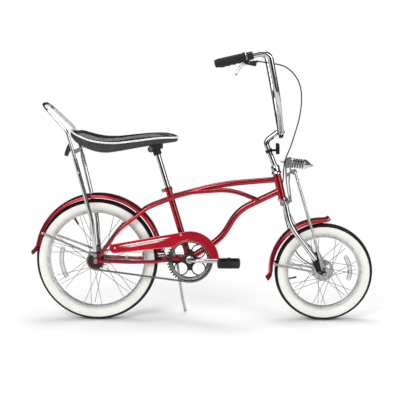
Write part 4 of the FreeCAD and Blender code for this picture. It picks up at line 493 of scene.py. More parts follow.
def striping():
    """White line paint under a clear coat, with a faint mottle."""
    made = Finish("stripe_paint")
    cloud = made.noise(60.0, 4.0)
    return made.shade(base_color=made.blend(made.spread(cloud), hue("stripe", 0.9), hue("stripe")),
                      roughness=made.spread(cloud, 0.22, 0.34), coat_weight=0.8, coat_roughness=0.05,
                      normal=made.bump(cloud, 0.05, 0.05))


def lens(name, tone, clear):
    """A prismatic reflector lens: small cells behind a glossy face."""
    made = Finish(name)
    prisms = made.cells(620.0)
    base = made.blend(made.spread(prisms, start=0.2, end=0.8), tinted(tone, 0.75), tone)
    return made.shade(base_color=base, roughness=made.spread(prisms, 0.1, 0.24, 0.1, 0.9), coat_weight=1.0,
                      transmission_weight=clear, coat_roughness=0.03, normal=made.bump(prisms, 0.55, 0.4))


FINISH_MAKERS = {
    "paint": lambda: metallic_paint("candy_red_paint", 0.72, 1.0),
    # The chain guard has the frame's paint: its 1.6 gain brightens the reds as painted light on the flat
    # plate, and it is less metallic
    "guard_paint_painted_light": lambda: metallic_paint("guard_red_paint", 0.25, 1.6),
    "chrome": lambda: plated("bright_chrome", hue("chrome"), 0.05, 0.13),
    "rim": lambda: brushed("rim_plate", (0.8, 0.8, 0.79), 0.38, 0.52),
    "alloy": lambda: brushed("pale_alloy", (0.72, 0.72, 0.71), 0.24, 0.4),
    "steel": lambda: brushed("zinc_steel", (0.5, 0.5, 0.49), 0.26, 0.42),
    "dark_steel": lambda: brushed("oiled_steel", (0.24, 0.225, 0.21), 0.3, 0.48),
    "black": lambda: black_paint("black_enamel", (0.007, 0.007, 0.0075), 0.2, 0.34, 0.3),
    "satin": lambda: black_paint("satin_black", (0.01, 0.01, 0.01), 0.36, 0.5, 0.1),
    "rubber": lambda: moulded("tread_rubber", hue("black_rubber"), 0.62, 0.8),
    "grip": lambda: moulded("grip_rubber", hue("black_rubber", 0.9), 0.5, 0.66, 700.0, 0.2),
    "plastic": lambda: moulded("moulded_plastic", (0.009, 0.009, 0.009), 0.34, 0.5, 900.0, 0.08),
    "cable": lambda: moulded("cable_housing", (0.008, 0.008, 0.008), 0.28, 0.4, 1200.0, 0.04),
    "whitewall": white_rubber,
    "vinyl": seat_vinyl,
    "piping": piping_cord,
    "clear_lens": lambda: lens("clear_lens", (0.86, 0.87, 0.87), 0.8),
    "red_lens": lambda: lens("red_lens", hue("lens"), 0.15),
    "amber_lens": lambda: lens("amber_lens", hue("amber"), 0.2),
    "stripe": striping,
}
finishes = {}


def finish(name):
    """The material of that name, made once."""
    if name not in finishes:
        finishes[name] = FINISH_MAKERS[name]()
    return finishes[name]


NODE_FINISHES = {
    "paint": "head_tube bottom_bracket seat_tube top_tube down_tube arch_tubes chain_stays dropouts "
             "frame_bridges rear_fender front_fender seat_clamp",
    "guard_paint_painted_light": "chain_guard",
    "chrome": "headset_cups headset_nut fork_legs spring_bolt stem handlebar sissy_struts sissy_loop "
              "seat_post crank",
    "rim": "front_rim rear_rim",
    "alloy": "fork_crown front_hub front_brake_plate sissy_strap springer_tower springer_rods "
             "front_fender_stays rear_fender_stays",
    "steel": "rear_axle front_axle coaster_arm guard_brackets side_stand rear_hub",
    "dark_steel": "chain spring front_spokes rear_spokes",
    "black": "chainring chainring_disc fork_ends fork_links",
    "satin": "stand_bracket seat_bracket rear_sprocket",
    "rubber": "front_tyre rear_tyre",
    "grip": "grips",
    "plastic": "pedal_left pedal_right front_reflector rear_reflector brake_lever",
    "cable": "brake_cable",
    "vinyl": "seat_cushion",
}


SMOOTH_BELOW = math.radians(30.0)
LOOSE_POINTS = 0.005


def smoothing_nodes():
    """Nodes that merge a node's loose triangles and shade them smooth, but for its steeper edges."""
    group = bpy.data.node_groups.new("Smooth by angle", "GeometryNodeTree")
    for end in ("INPUT", "OUTPUT"):
        group.interface.new_socket("Geometry", in_out=end, socket_type="NodeSocketGeometry")
    nodes = Nodes(group)
    angle = nodes.node("GeometryNodeInputMeshEdgeAngle").outputs["Unsigned Angle"]
    steep = nodes.node("FunctionNodeCompare", operation="GREATER_THAN")
    nodes.put(steep.inputs[0], angle)
    nodes.put(steep.inputs[1], SMOOTH_BELOW)
    made = nodes.node("NodeGroupInput")
    for kind, inputs, settings in (
            ("GeometryNodeMergeByDistance", {"Distance": LOOSE_POINTS * MM}, {}),
            ("GeometryNodeRemoveAttribute", {"Name": "custom_normal"}, {}),
            ("GeometryNodeSetShadeSmooth", {}, {}),
            ("GeometryNodeSetShadeSmooth", {"Shade Smooth": False, "Selection": steep.outputs["Result"]},
             {"domain": "EDGE"})):
        made = nodes.node(kind, {"Geometry": made.outputs[0], **inputs}, **settings)
    nodes.node("NodeGroupOutput", {0: made.outputs[0]})
    return group


class ChopperFrameFinish(bpy.types.Operator):
    """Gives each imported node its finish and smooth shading"""
    bl_idname = "chopper.frame_finish"
    bl_label = "Frame finish"

    def execute(self, context):
        smoothing = smoothing_nodes()
        for name, members in NODE_FINISHES.items():
            for node in members.split():
                made = frame["nodes"][node]
                made.data.materials.clear()
                made.data.materials.append(finish(name))
                made.modifiers.new("Smooth", "NODES").node_group = smoothing
        return {"FINISHED"}


# Stage

CAMERA_PLACE = (587.81, -4702.8, 1055.2)
CAMERA_YAW = 0.0337
CAMERA_PITCH = 0.1171
CAMERA_ROLL = -0.0037
CAMERA_LENS = 103.05


FLOOR_HALF = 40.0
FLOOR_FADE = (0.55, 1.15)
LAMP_AIM = (0.0, 0.0, 0.5)
# Place, power, width and height
LAMPS = {
    "key": ((-1.6, -3.4, 3.2), 105.0, 2.4, 2.0),
    "fill": ((3.0, -2.6, 1.9), 34.0, 1.6, 2.4),
    "top": ((0.2, 0.6, 3.6), 70.0, 3.2, 1.6),
}
# Two opposite corners each
CARDS = {
    "card_front": ((-7, -6.5, 0), (7, -6.5, 1.9)),
    "card_floor": ((-3.2, -9, 0.004), (3.2, -1.7, 0.004)),
    "card_above": ((-8, -6, 4.3), (8, 6, 4.3)),
    "card_back": ((-7, 4.0, 0), (7, 4.0, 3.2)),
    "card_rear": ((-4.0, -2.6, 0), (-4.0, 2.6, 2.0)),
    "card_ahead": ((4.0, -2.6, 0), (4.0, 2.6, 2.0)),
}


def stage_face(name, low, high, material):
    """A flat face of the stage between two corners, square to one axis."""
    wide = min(axis for axis in range(3) if low[axis] != high[axis])
    corners = np.array([low, low, high, high], float)
    corners[[1, 3], wide] = high[wide], low[wide]
    mesh = bpy.data.meshes.new(name)
    mesh.from_pydata(corners.tolist(), [], [(0, 1, 2, 3)])
    mesh.materials.append(material)
    made = linked(name, mesh)
    return made


def seen_by(nodes, kinds):
    """1 for rays from the camera and for the other kinds given."""
    path = nodes.node("ShaderNodeLightPath")
    total = path.outputs["Is Camera Ray"]
    for kind in kinds:
        total = nodes.sum(total, path.outputs[kind], "MAXIMUM")
    return total


def floor_finish():
    """Pale floor that keeps the shadows near the object and runs out into the white backdrop."""
    made = Finish("pale_floor")
    oval = made.node("ShaderNodeMapping", {"Scale": (0.8, 1.0, 1.0), "Vector": made.where})
    reach = made.node("ShaderNodeVectorMath", {0: oval.outputs["Vector"]}, operation="LENGTH")
    fade = made.node("ShaderNodeMapRange", {"Value": reach.outputs["Value"], "From Min": FLOOR_FADE[0],
                                            "From Max": FLOOR_FADE[1]}, interpolation_type="SMOOTHSTEP")
    share = made.times(fade.outputs["Result"], seen_by(made, ["Is Transmission Ray"]))
    light = made.node("ShaderNodeEmission")
    mix = made.node("ShaderNodeMixShader", {0: share, 1: made.shader.outputs[0], 2: light.outputs[0]})
    made.put(made.tree.nodes["Material Output"].inputs["Surface"], mix.outputs[0])
    return made.shade(base_color=(0.9, 0.9, 0.9), roughness=0.9, specular_ior_level=0.0)


def lamp(name, place, power, wide, tall):
    """A soft area lamp at a place in metres, turned to the bicycle's middle."""
    data = bpy.data.lights.new(name, "AREA")
    data.shape = "RECTANGLE"
    data.size, data.size_y = wide, tall
    data.energy = power
    back = unit(np.array(place) - LAMP_AIM)
    up = across_to(back)[0]
    columns = np.stack([np.cross(up, back), up, back], axis=1)
    linked(name, data).matrix_world = Matrix.Translation(place) @ Matrix(columns.tolist()).to_4x4()


def dark_card(name, low, high):
    """A black card that only gloss sees, for the dark streaks in bright metal."""
    made = stage_face(name, low, high, Finish(name).shade(base_color=(0.015, 0.015, 0.017)))
    for ray in ("camera", "diffuse", "shadow", "transmission", "volume_scatter"):
        setattr(made, "visible_" + ray, False)


class ChopperStage(bpy.types.Operator):
    """Sets the floor, the backdrop, the lamps and the camera"""
    bl_idname = "chopper.stage"
    bl_label = "Stage"

    def execute(self, context):
        scene = context.scene
        stage_face("floor", (-FLOOR_HALF, -FLOOR_HALF, 0), (FLOOR_HALF, FLOOR_HALF, 0), floor_finish())
        for name, (low, high) in CARDS.items():
            dark_card(name, low, high)
        for name, values in LAMPS.items():
            lamp(name, *values)

        scene.world = bpy.data.worlds.new("studio")
        scene.world.use_nodes = True
        nodes = Nodes(scene.world.node_tree)
        seen = seen_by(nodes, ["Is Glossy Ray", "Is Transmission Ray"])
        strength = nodes.node("ShaderNodeMapRange", {"Value": seen, "To Min": 0.5, "To Max": 1.0})
        backdrop = nodes.tree.nodes["Background"]
        nodes.put(backdrop.inputs["Color"], (1.0, 1.0, 1.0))
        nodes.put(backdrop.inputs["Strength"], strength.outputs["Result"])

        yaw, pitch, roll = CAMERA_YAW, CAMERA_PITCH, CAMERA_ROLL
        level = np.array([-math.sin(yaw), math.cos(yaw), 0.0])
        ahead = level * math.cos(pitch) - np.array([0.0, 0.0, math.sin(pitch)])
        right = np.array([math.cos(yaw), math.sin(yaw), 0.0])
        up = np.cross(right, ahead)
        axes = np.stack([right * math.cos(roll) + up * math.sin(roll),
                         up * math.cos(roll) - right * math.sin(roll), -ahead], axis=1)
        data = bpy.data.cameras.new("camera")
        data.lens = CAMERA_LENS
        data.clip_end = 200.0
        camera = linked("camera", data)
        turned = Matrix((LEAN_TURN @ axes).tolist()).to_4x4()
        camera.matrix_world = Matrix.Translation(placed(CAMERA_PLACE)) @ turned
        scene.camera = camera
        scene.view_settings.view_transform = "Standard"
        return {"FINISHED"}


# Wheels

WHEELS = {"rear": (REAR, "rear_wheel"), "front": (FRONT, "front_wheel")}
RIM_BED = 58.5
TYRE_STEPS = 624
TYRE_POWER = 2 / 2.35
INNER_SHARE = 0.8
# Across the section, in degrees from the tread's middle: the middle of each, half its width, a rib's height
GROOVES = ((14.0, 3.0), (34.0, 3.0))
SIDE_RIBS = ((68.0, 2.5, 0.5), (138.0, 3.0, 0.7))
SIDEWALL = 67.0


def tyre_surface(centre, radius, half_width, half_height, depth):
    """A tyre: a section between an ellipse and a box, carried round the wheel. Width and height follow powers
    of the sine and cosine of the angle across the section. The section shrinks by the tread's depth in four
    grooves round the wheel, in slots across each shoulder and in notches between the grooves, and grows a
    little at two ribs on each side. Gives the number of each face's finish too."""
    across = np.radians(np.concatenate([np.linspace(-152, -68, 15), np.linspace(-64, 64, 33),
                                        np.linspace(68, 152, 15)]))
    y = half_width * np.sign(np.sin(across)) * np.abs(np.sin(across)) ** TYRE_POWER
    rise = half_height * np.sign(np.cos(across)) * np.abs(np.cos(across)) ** TYRE_POWER
    step = np.arange(TYRE_STEPS)
    left = across[:, None] > 0
    degrees = np.abs(np.degrees(across))[:, None]
    cut = ((step + 3 * left) % 6 < 2) & (degrees > 34.0) & (degrees < 60.0)
    cut |= ((step + 2 * left) % 6 < 1) & (degrees > 12.0) & (degrees < 34.0)
    for middle, half in GROOVES:
        cut |= np.abs(degrees - middle) < half
    ribs = sum(np.where(np.abs(degrees - middle) < half, high, 0.0) for middle, half, high in SIDE_RIBS)
    grow = 1 + (ribs - np.where(cut, depth, 0.0)) / half_height
    angle = turns(TYRE_STEPS)
    bead = radius - half_height

    def round_wheel(out, side):
        return np.stack([out * np.cos(angle), np.broadcast_to(side, out.shape), out * np.sin(angle)], axis=-1)

    outer = round_wheel(bead + rise[:, None] * grow, y[:, None] * grow)
    inner_out = np.repeat((bead + rise[::-8] * INNER_SHARE)[:, None], TYRE_STEPS, axis=1)
    inner = round_wheel(inner_out, (y[::-8] * INNER_SHARE)[:, None])
    rows = np.concatenate([degrees[:, 0] > SIDEWALL, np.zeros(len(inner), bool)])
    pale = rows & np.roll(rows, -1)
    surface = shell(np.concatenate([outer, inner]) + centre, wrap_rows=True)
    return surface, np.repeat(pale, TYRE_STEPS).astype(int)


class ChopperTyres(bpy.types.Operator):
    """Makes both tyres with their white sidewalls and black tread"""
    bl_idname = "chopper.tyres"
    bl_label = "Tyres"

    def execute(self, context):
        own = sizes()
        section = mm(own.tyre_half_width), mm(own.tyre_half_height), mm(own.tread_depth)
        for name, (centre, body) in WHEELS.items():
            radius = mm(own.rear_tyre if name == "rear" else own.front_tyre)
            surface, tone = tyre_surface(centre, radius, *section)
            piece(name + "_whitewall_tyre", surface, "rubber whitewall", body, sharp=40.0,
                  stands_for=[name + "_tyre"], tone=tone)
        return {"FINISHED"}


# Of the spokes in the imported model
SPOKE_PAIRS = 14
SPOKE_LEAN = math.radians(56.0)
FLANGES = {"rear": (33.0, 33.0), "front": (27.0, 45.0)}
FLANGE_RIM = 3.2
FLANGE_SPREAD = 27.0


def nipple_places(name, centre, bed):
    """Where each spoke meets the rim, and the way from there along the spoke, worked out as arrays."""
    number = np.arange(SPOKE_PAIRS // 2)
    places, ways = [], []
    for side, flange in zip((-1, 1), FLANGES[name]):
        hub = (number + 0.25 * (side > 0)) * 4 * math.pi / SPOKE_PAIRS
        reach = flange - FLANGE_RIM
        for lean in (1, -1):
            hole, rim = hub + lean * 0.1, hub + lean * SPOKE_LEAN
            out = np.full(len(hub), side * (FLANGE_SPREAD + 2.6 * lean))
            start = np.stack([reach * np.cos(hole), out, reach * np.sin(hole)], axis=-1)
            end = np.stack([bed * np.cos(rim), np.full(len(rim), side * 3.0), bed * np.sin(rim)], axis=-1)
            places.append(end + centre)
            ways.append(unit(start - end))
    return np.concatenate(places), np.concatenate(ways)


def radial(centre, radius, degrees):
    """A place round a wheel, its angle from forward to up."""
    turn = math.radians(degrees)
    return centre + np.array([radius * math.cos(turn), 0.0, radius * math.sin(turn)])


def arc_band(centre, middle, width, turn, half_arc, thick):
    """A curved bar round a wheel: a rounded rectangle carried along an arc, narrower at both ends."""
    share = np.linspace(0, 1, 28)
    angle = np.radians(turn - half_arc + 2 * half_arc * share)[:, None]
    taper = (np.clip(np.minimum(share, 1 - share) * 14, 0.35, 1.0) ** 0.5)[:, None]
    section = rounded(width, thick, thick * 0.35)
    out, side = middle + section[:, 0] * taper, section[:, 1] * taper
    return shell(centre + np.stack([out * np.cos(angle), side, out * np.sin(angle)], axis=-1))


# The tyre's radius, the valve's angle, and the spoke reflector's radius, angle and half its arc
WHEEL_PARTS = {"rear": (REAR_RADIUS, 118.0, 150.0, 186.0, 26.0), "front": (203.0, 192.0, 110.0, 8.0, 28.0)}


class ChopperWheelParts(bpy.types.Operator):
    """Makes the spoke nipples, valves and spoke reflectors"""
    bl_idname = "chopper.wheel_parts"
    bl_label = "Wheel parts"

    def execute(self, context):
        profile = [(-1.0, 2.0), (1.5, 2.0), (2.0, 1.7), (9.0, 1.6), (10.0, 1.25)]
        nipple = lathe(profile, (0, 0, 0), (0, 0, 1), 8)
        for name, (centre, body) in WHEELS.items():
            tyre, valve_turn, middle, turn, half_arc = WHEEL_PARTS[name]
            bed = tyre - RIM_BED
            places, ways = nipple_places(name, centre, bed - 0.3)
            axes = np.stack([*across_to(ways, SIDE), ways], axis=1)
            piece(name + "_nipples", repeated(nipple, places, axes), "alloy", body)

            inward = radial(np.zeros(3), -1.0, valve_turn)
            base = radial(centre, bed + 1.0, valve_turn)
            stem = lathe([(0, 5.6), (2.0, 5.2), (4.0, 3.8), (20.0, 3.4), (21.0, 2.6)], base, inward, 16)
            cap = lathe([(20.5, 2.8), (21.0, 4.1), (31.0, 4.0), (32.5, 2.6), (33.0, 0.6)], base, inward, 12)
            piece(name + "_valve", gathered([stem, cap]), "grip", body)

            wide = mm(sizes().reflector_width)
            band = arc_band(centre, middle, wide, turn, half_arc, 7.0)
            piece(name + "_spoke_reflector", band, "clear_lens", body)
            ribs = [arc_band(centre, middle + side * (wide / 2 - 1.5), 2.6, turn, half_arc * 0.97, 9.0)
                    for side in (-1, 1)]
            piece(name + "_spoke_reflector_ribs", gathered(ribs), "clear_lens", body)
        return {"FINISHED"}


# Drive

RING_TEETH = 46
SPROCKET_TEETH = 18
CHAIN_LINE = -45.0


def chain_path(count):
    """Places of the chain's pins, evenly along two straight runs and two arcs, and its whole length."""
    pitch = mm(sizes().chain_pitch)
    big, small = [pitch / (2 * math.sin(math.pi / teeth)) for teeth in (RING_TEETH, SPROCKET_TEETH)]
    first, last = REAR[[0, 2]], BRACKET[[0, 2]]
    distance = np.linalg.norm(last - first)
    along = (last - first) / distance
    across = np.array([-along[1], along[0]])
    lift = math.asin((big - small) / distance)
    straight = distance * math.cos(lift)
    front_arc = big * (math.pi + 2 * lift)
    rear_arc = small * (math.pi - 2 * lift)
    total = 2 * straight + front_arc + rear_arc
    # From the ring's front over the top run, round the sprocket and back below
    place = ((np.arange(count) * total / count + front_arc / 2) % total)[:, None]

    def on_circle(centre, radius, turn):
        return centre + (along * np.cos(turn) + across * np.sin(turn)) * radius

    def on_run(start, end, before):
        return start + (end - start) * (place - before) / straight

    top_turn = math.pi / 2 + lift
    ends = np.cumsum([front_arc, straight, rear_arc])
    legs = np.searchsorted(ends, place[:, 0], side="right")
    runs = [on_circle(last, big, (place - front_arc / 2) / big),
            on_run(on_circle(last, big, top_turn), on_circle(first, small, top_turn), ends[0]),
            on_circle(first, small, top_turn + (place - ends[1]) / small),
            on_run(on_circle(first, small, -top_turn), on_circle(last, big, -top_turn), ends[2])]
    return np.choose(legs[:, None], runs), total


def link_plate(pitch):
    """The outline of a chain's side plate: two round ends and a narrow waist."""
    turn = np.radians(np.linspace(-75, 75, 6))
    end = np.stack([pitch / 2 + 3.9 * np.cos(turn), 3.9 * np.sin(turn)], axis=-1)
    waist = np.array([[0.0, 2.9]])
    return np.concatenate([end, waist, -end, -waist])


class ChopperChain(bpy.types.Operator):
    """Makes the roller chain with its plates, rollers and pins"""
    bl_idname = "chopper.chain"
    bl_label = "Chain"

    def execute(self, context):
        count = 2 * round(chain_path(2)[1] / mm(sizes().chain_pitch) / 2)
        pins = chain_path(count)[0]
        after = np.roll(pins, -1, axis=0)
        pitch = np.linalg.norm(after - pins, axis=1).mean()
        way = unit(after - pins)
        middles = (pins + after) / 2
        zero = np.zeros(count)
        first = np.stack([way[:, 0], zero, way[:, 1]], axis=-1)
        second = np.stack([-way[:, 1], zero, way[:, 0]], axis=-1)
        axes = np.stack([first, second, np.cross(first, second)], axis=1)
        straight = np.broadcast_to(np.eye(3), (count, 3, 3))

        def at(places, out):
            return np.stack([places[:, 0], np.full(len(places), CHAIN_LINE + out), places[:, 1]], axis=-1)

        plate = slab(link_plate(pitch), (0, 0, -0.45), (1, 0, 0), (0, 1, 0), 0.9)
        roller = lathe([(-1.85, 3.7), (1.85, 3.7)], (0, 0, 0), SIDE, 10)
        pin = lathe([(-4.25, 1.2), (-4.1, 1.7), (4.1, 1.7), (4.25, 1.2)], (0, 0, 0), SIDE, 8)
        parts = [repeated(plate, at(middles[start::2], side * out), axes[start::2])
                 for start, out in ((0, 2.35), (1, 3.4)) for side in (-1, 1)]
        parts += [repeated(own, at(pins, 0.0), straight) for own in (roller, pin)]
        piece("roller_chain", gathered(parts), "dark_steel", "frame", sharp=30.0,
              stands_for=["chain"])
        return {"FINISHED"}


def bolt(place, way, radius, height, sides=6, washer=0.0):
    """A hexagon head on a washer, or a dome where it has many sides."""
    way = unit(way)
    place = np.asarray(place, float)
    made = []
    if washer:
        profile = [(0.0, washer - 0.3), (0.2, washer), (1.1, washer), (1.4, washer - 0.4)]
        made.append(lathe(profile, place, way, 20))
        place = place + way * 1.3
    if sides > 6:
        profile = [(0.0, 1.0), (0.35, 0.97), (0.75, 0.75), (0.95, 0.4), (1.0, 0.1)]
    else:
        profile = [(0.0, 1.0), (0.8, 1.0), (1.0, 0.86)]
    return made + [lathe(np.array(profile) * (height, radius), place, way, sides)]


def bolt_pair(place, *form):
    """The same bolt head on both sides, outwards."""
    mirrored = np.asarray(place) * (1, -1, 1)
    return bolt(mirrored, -SIDE, *form) + bolt(place, SIDE, *form)


class ChopperDriveParts(bpy.types.Operator):
    """Makes the crank's lock nut, drive pin and left cup, and the beads on the chainring"""
    bl_idname = "chopper.drive_parts"
    bl_label = "Drive parts"

    def execute(self, context):
        face = BRACKET + SIDE * -48.8
        nut = bolt(face, -SIDE, 17.0, 5.0, 8) + bolt(face + (28.0, 0, 0), -SIDE, 4.5, 6.0, 16)
        piece("crank_lock_nut", gathered(nut), "steel", "crank", bevel=0.5)
        cup = bolt(BRACKET + SIDE * 34.2, SIDE, 24.0, 4.0, 24)
        piece("crank_left_cup", gathered(cup), "chrome", "frame")
        beads = []
        for inner, outer, y in ((76.2, 79.3, -49.2), (81.6, 84.4, -46.9)):
            section = rounded(outer - inner, 0.9, 0.3, 3)[:, ::-1] + (y, (inner + outer) / 2)
            beads.append(lathe(section, BRACKET, SIDE, 120, closed=True))
        piece("chainring_beads", gathered(beads), "chrome", "crank")
        return {"FINISHED"}


class ChopperPedals(bpy.types.Operator):
    """Makes the pedals' ribs, studs and reflectors"""
    bl_idname = "chopper.pedals"
    bl_label = "Pedals"

    def execute(self, context):
        ahead, up = (1, 0, 0), (0, 0, 1)
        for side, centre in PEDALS.items():
            body = "pedal_" + side
            ribs = [slab(rounded(3.0, 74.0, 1.2, 3), centre + (place, 0, rise * 13.0 - 1.6), ahead, SIDE, 3.2)
                    for rise in (-1, 1) for place in np.linspace(-34, 34, 9)]
            ribs += [slab(rounded(9.0, 22.0, 1.5, 3), centre + (end * 44.0 - 1.6, place, 0), SIDE, up, 3.2)
                     for end in (-1, 1) for place in np.linspace(-33, 33, 6)]
            piece(body + "_ribs", gathered(ribs), "plastic", body, bevel=0.5)
            lenses = [slab(rounded(46.0, 13.0, 2.0, 3), centre + (end * 46.2 - 0.9, 0, 0), SIDE, up, 1.8)
                      for end in (-1, 1)]
            piece(body + "_reflectors", gathered(lenses), "amber_lens", body, bevel=0.4)
            out = SIDE * (-1 if side == "right" else 1)
            cap = bolt(centre + out * 41.5, out, 9.0, 3.0, 20)
            piece(body + "_cap", gathered(cap), "plastic", body)
        return {"FINISHED"}


# Seat

SEAT_REAR = -99.0
SEAT_NOSE = 341.0
# The smaller start that the cloth swells from, its pressure, and how far a point may move
SEAT_SHRINK = 2.5
SEAT_PRESSURE = 4.0
SEAT_SWELL = 6.0
CLOTH_FRAMES = 20
VOXEL = 5.0
# Along X, above the ground
SEAT_CROWN = [(-99, 799), (-60, 789), (-20, 777), (25, 766.5), (80, 763.5), (162, 771), (233, 777),
              (341, 777)]
SEAT_PIPING = [(-99, 794), (-62, 775), (-16, 757), (30, 748), (76, 744.5), (169, 752), (261, 762),
               (341, 764)]
SEAT_BOTTOM = [(-99, 768), (-70, 744), (-35, 723), (6, 708), (48, 704), (90, 709), (168, 722), (260, 737),
               (341, 748)]
SEAT_WIDTH = [(-99, 0.84), (-55, 0.96), (20, 1.0), (110, 0.87), (200, 0.67), (290, 0.5), (341, 0.44)]


def seat_half(x):
    """Half the seat at a place along X: its width line, drawn in to a round at both ends."""
    width = smooth_line(SEAT_WIDTH, x) * mm(sizes().seat_half_width)
    rear = np.clip((x - SEAT_REAR) / 34.0, 0.1, 1)
    nose = np.clip((SEAT_NOSE - x) / 18.0, 0.35, 1)
    return width * np.sqrt(1 - (1 - rear) ** 2.6) * np.sqrt(1 - (1 - nose) ** 2.6)


def seat_surface(shrink):
    """The cushion: a section carried along X, its width and height powers of the cosine and sine of the angle
    round it. Above the piping the powers are 0.8 and 0.7, for a full crown. Below it they are 0.42 and 0.5,
    for a side band and a flat bottom."""
    share = (1 - np.cos(np.linspace(0.02, 0.98, 96) * math.pi)) / 2
    x = SEAT_REAR + (SEAT_NOSE - SEAT_REAR) * share
    angle = turns(72)
    sine, cosine = np.sin(angle)[None], np.cos(angle)[None]
    lines = SEAT_CROWN, SEAT_PIPING, SEAT_BOTTOM
    crown, edge, bottom = [smooth_line(knots, x)[:, None] for knots in lines]
    half = np.maximum(seat_half(x), 3.0)[:, None] - shrink
    over = sine >= 0
    y = np.where(over, half * np.sign(cosine) * np.abs(cosine) ** 0.8,
                 half * 0.98 * np.sign(cosine) * np.abs(cosine) ** 0.42)
    z = np.where(over, edge + (crown - edge - shrink) * np.abs(sine) ** 0.7,
                 edge - (edge - bottom - shrink) * np.abs(sine) ** 0.5)
    return shell(np.stack([np.broadcast_to(x[:, None], y.shape), y, z], axis=-1))


def swollen(made, pressure, cap):
    """Swells a closed mesh with a cloth simulation and keeps each point within cap of its start."""
    scene = bpy.context.scene
    remesh = made.modifiers.new("Remesh", "REMESH")
    remesh.mode = "VOXEL"
    remesh.voxel_size = VOXEL * MM
    bpy.context.view_layer.update()
    graph = bpy.context.evaluated_depsgraph_get()
    made.data = bpy.data.meshes.new_from_object(made.evaluated_get(graph))
    made.modifiers.clear()
    count = len(made.data.vertices)
    start = np.zeros(count * 3, np.float32)
    made.data.vertices.foreach_get("co", start)
    cloth = made.modifiers.new("Cloth", "CLOTH")
    cloth.settings.use_pressure = True
    cloth.settings.uniform_pressure_force = pressure
    cloth.settings.quality = 5
    cloth.settings.tension_stiffness = 25.0
    cloth.settings.effector_weights.gravity = 0.0
    cloth.point_cache.frame_start = 1
    cloth.point_cache.frame_end = CLOTH_FRAMES
    for step in range(1, CLOTH_FRAMES + 1):
        scene.frame_set(step)
    graph = bpy.context.evaluated_depsgraph_get()
    result = made.evaluated_get(graph).data
    end = np.zeros(count * 3, np.float32)
    result.vertices.foreach_get("co", end)
    made.modifiers.clear()
    scene.frame_set(1)
    move = (end - start).reshape(-1, 3)
    distance = np.linalg.norm(move, axis=1, keepdims=True)
    move = move * np.minimum(1.0, cap * MM / np.maximum(distance, 1e-9))
    made.data.vertices.foreach_set("co", (start.reshape(-1, 3) + move).astype(np.float32).ravel())
    made.data.update()


class ChopperSeat(bpy.types.Operator):
    """Makes the banana seat's padded cover, its piping and the saddle clamp"""
    bl_idname = "chopper.seat"
    bl_label = "Seat"

    def execute(self, context):
        made = linked("banana_seat", mesh_of("banana_seat", seat_surface(SEAT_SHRINK)))
        swollen(made, SEAT_PRESSURE, SEAT_SWELL)
        mesh = made.data
        mesh.materials.clear()
        mesh.materials.append(finish("vinyl"))
        fine = made.modifiers.new("Subdivision", "SUBSURF")
        fine.levels = fine.render_levels = 1
        points = np.zeros(len(mesh.vertices) * 3)
        mesh.vertices.foreach_get("co", points)
        points = upright(points.reshape(-1, 3))
        over = points[:, 2] - smooth_line(SEAT_PIPING, points[:, 0])
        attribute = mesh.attributes.new("over_piping", "FLOAT", "POINT")
        attribute.data.foreach_set("value", over.astype(np.float32))
        mesh.shade_smooth()
        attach(made, "frame")
        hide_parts("seat_cushion")

        share = (1 - np.cos(np.linspace(0.0, 1.0, 130) * math.pi)) / 2
        x = SEAT_REAR + (SEAT_NOSE - SEAT_REAR) * share
        left = np.stack([x, seat_half(x) + 0.8, smooth_line(SEAT_PIPING, x)], axis=-1)
        loop = np.concatenate([left * (1, -1, 1), left[-2:0:-1]])
        seam = loop * (1, 0.997, 1) + (0, 0, -3.6)
        for name, path, radius, sides in (("piping", loop, mm(sizes().piping), 10), ("seam", seam, 1.1, 8)):
            piece("seat_" + name, tube(path, radius, sides, closed=True), "piping", "frame")

        clamp = seat_point(480.0, -19.0)
        pieces = [lathe([(-21, 8.0), (-20, 9.5), (20, 9.5), (21, 8.0)], clamp, SIDE, 24)]
        pieces += [lathe([(21.0, 12.0), (21.5, 13.5), (25.0, 13.5), (26.0, 11.5)], clamp, SIDE * side, 28)
                   for side in (-1, 1)]
        piece("saddle_clamp", gathered(pieces), "satin", "frame")
        nuts = bolt_pair(clamp + SIDE * 26.0, 6.5, 6.0, 6, 8.5)
        piece("saddle_clamp_nuts", gathered(nuts), "dark_steel", "frame", bevel=0.3)
        return {"FINISHED"}


# Handlebar

GRIP_TIP = np.array([502.2, 292.0, 1061.0])
GRIP_BEND = np.array([707.2, 262.0, 1107.0])
GRIP_RIB_PITCH = 5.0
GRIP_RIB = 0.9
GRIP_SCALLOP = 2.6


def grip_line(side):
    """The end of the bar and the way along it, for one side."""
    mirror = np.array([1.0, side, 1.0])
    return GRIP_TIP * mirror, unit((GRIP_BEND - GRIP_TIP) * mirror)


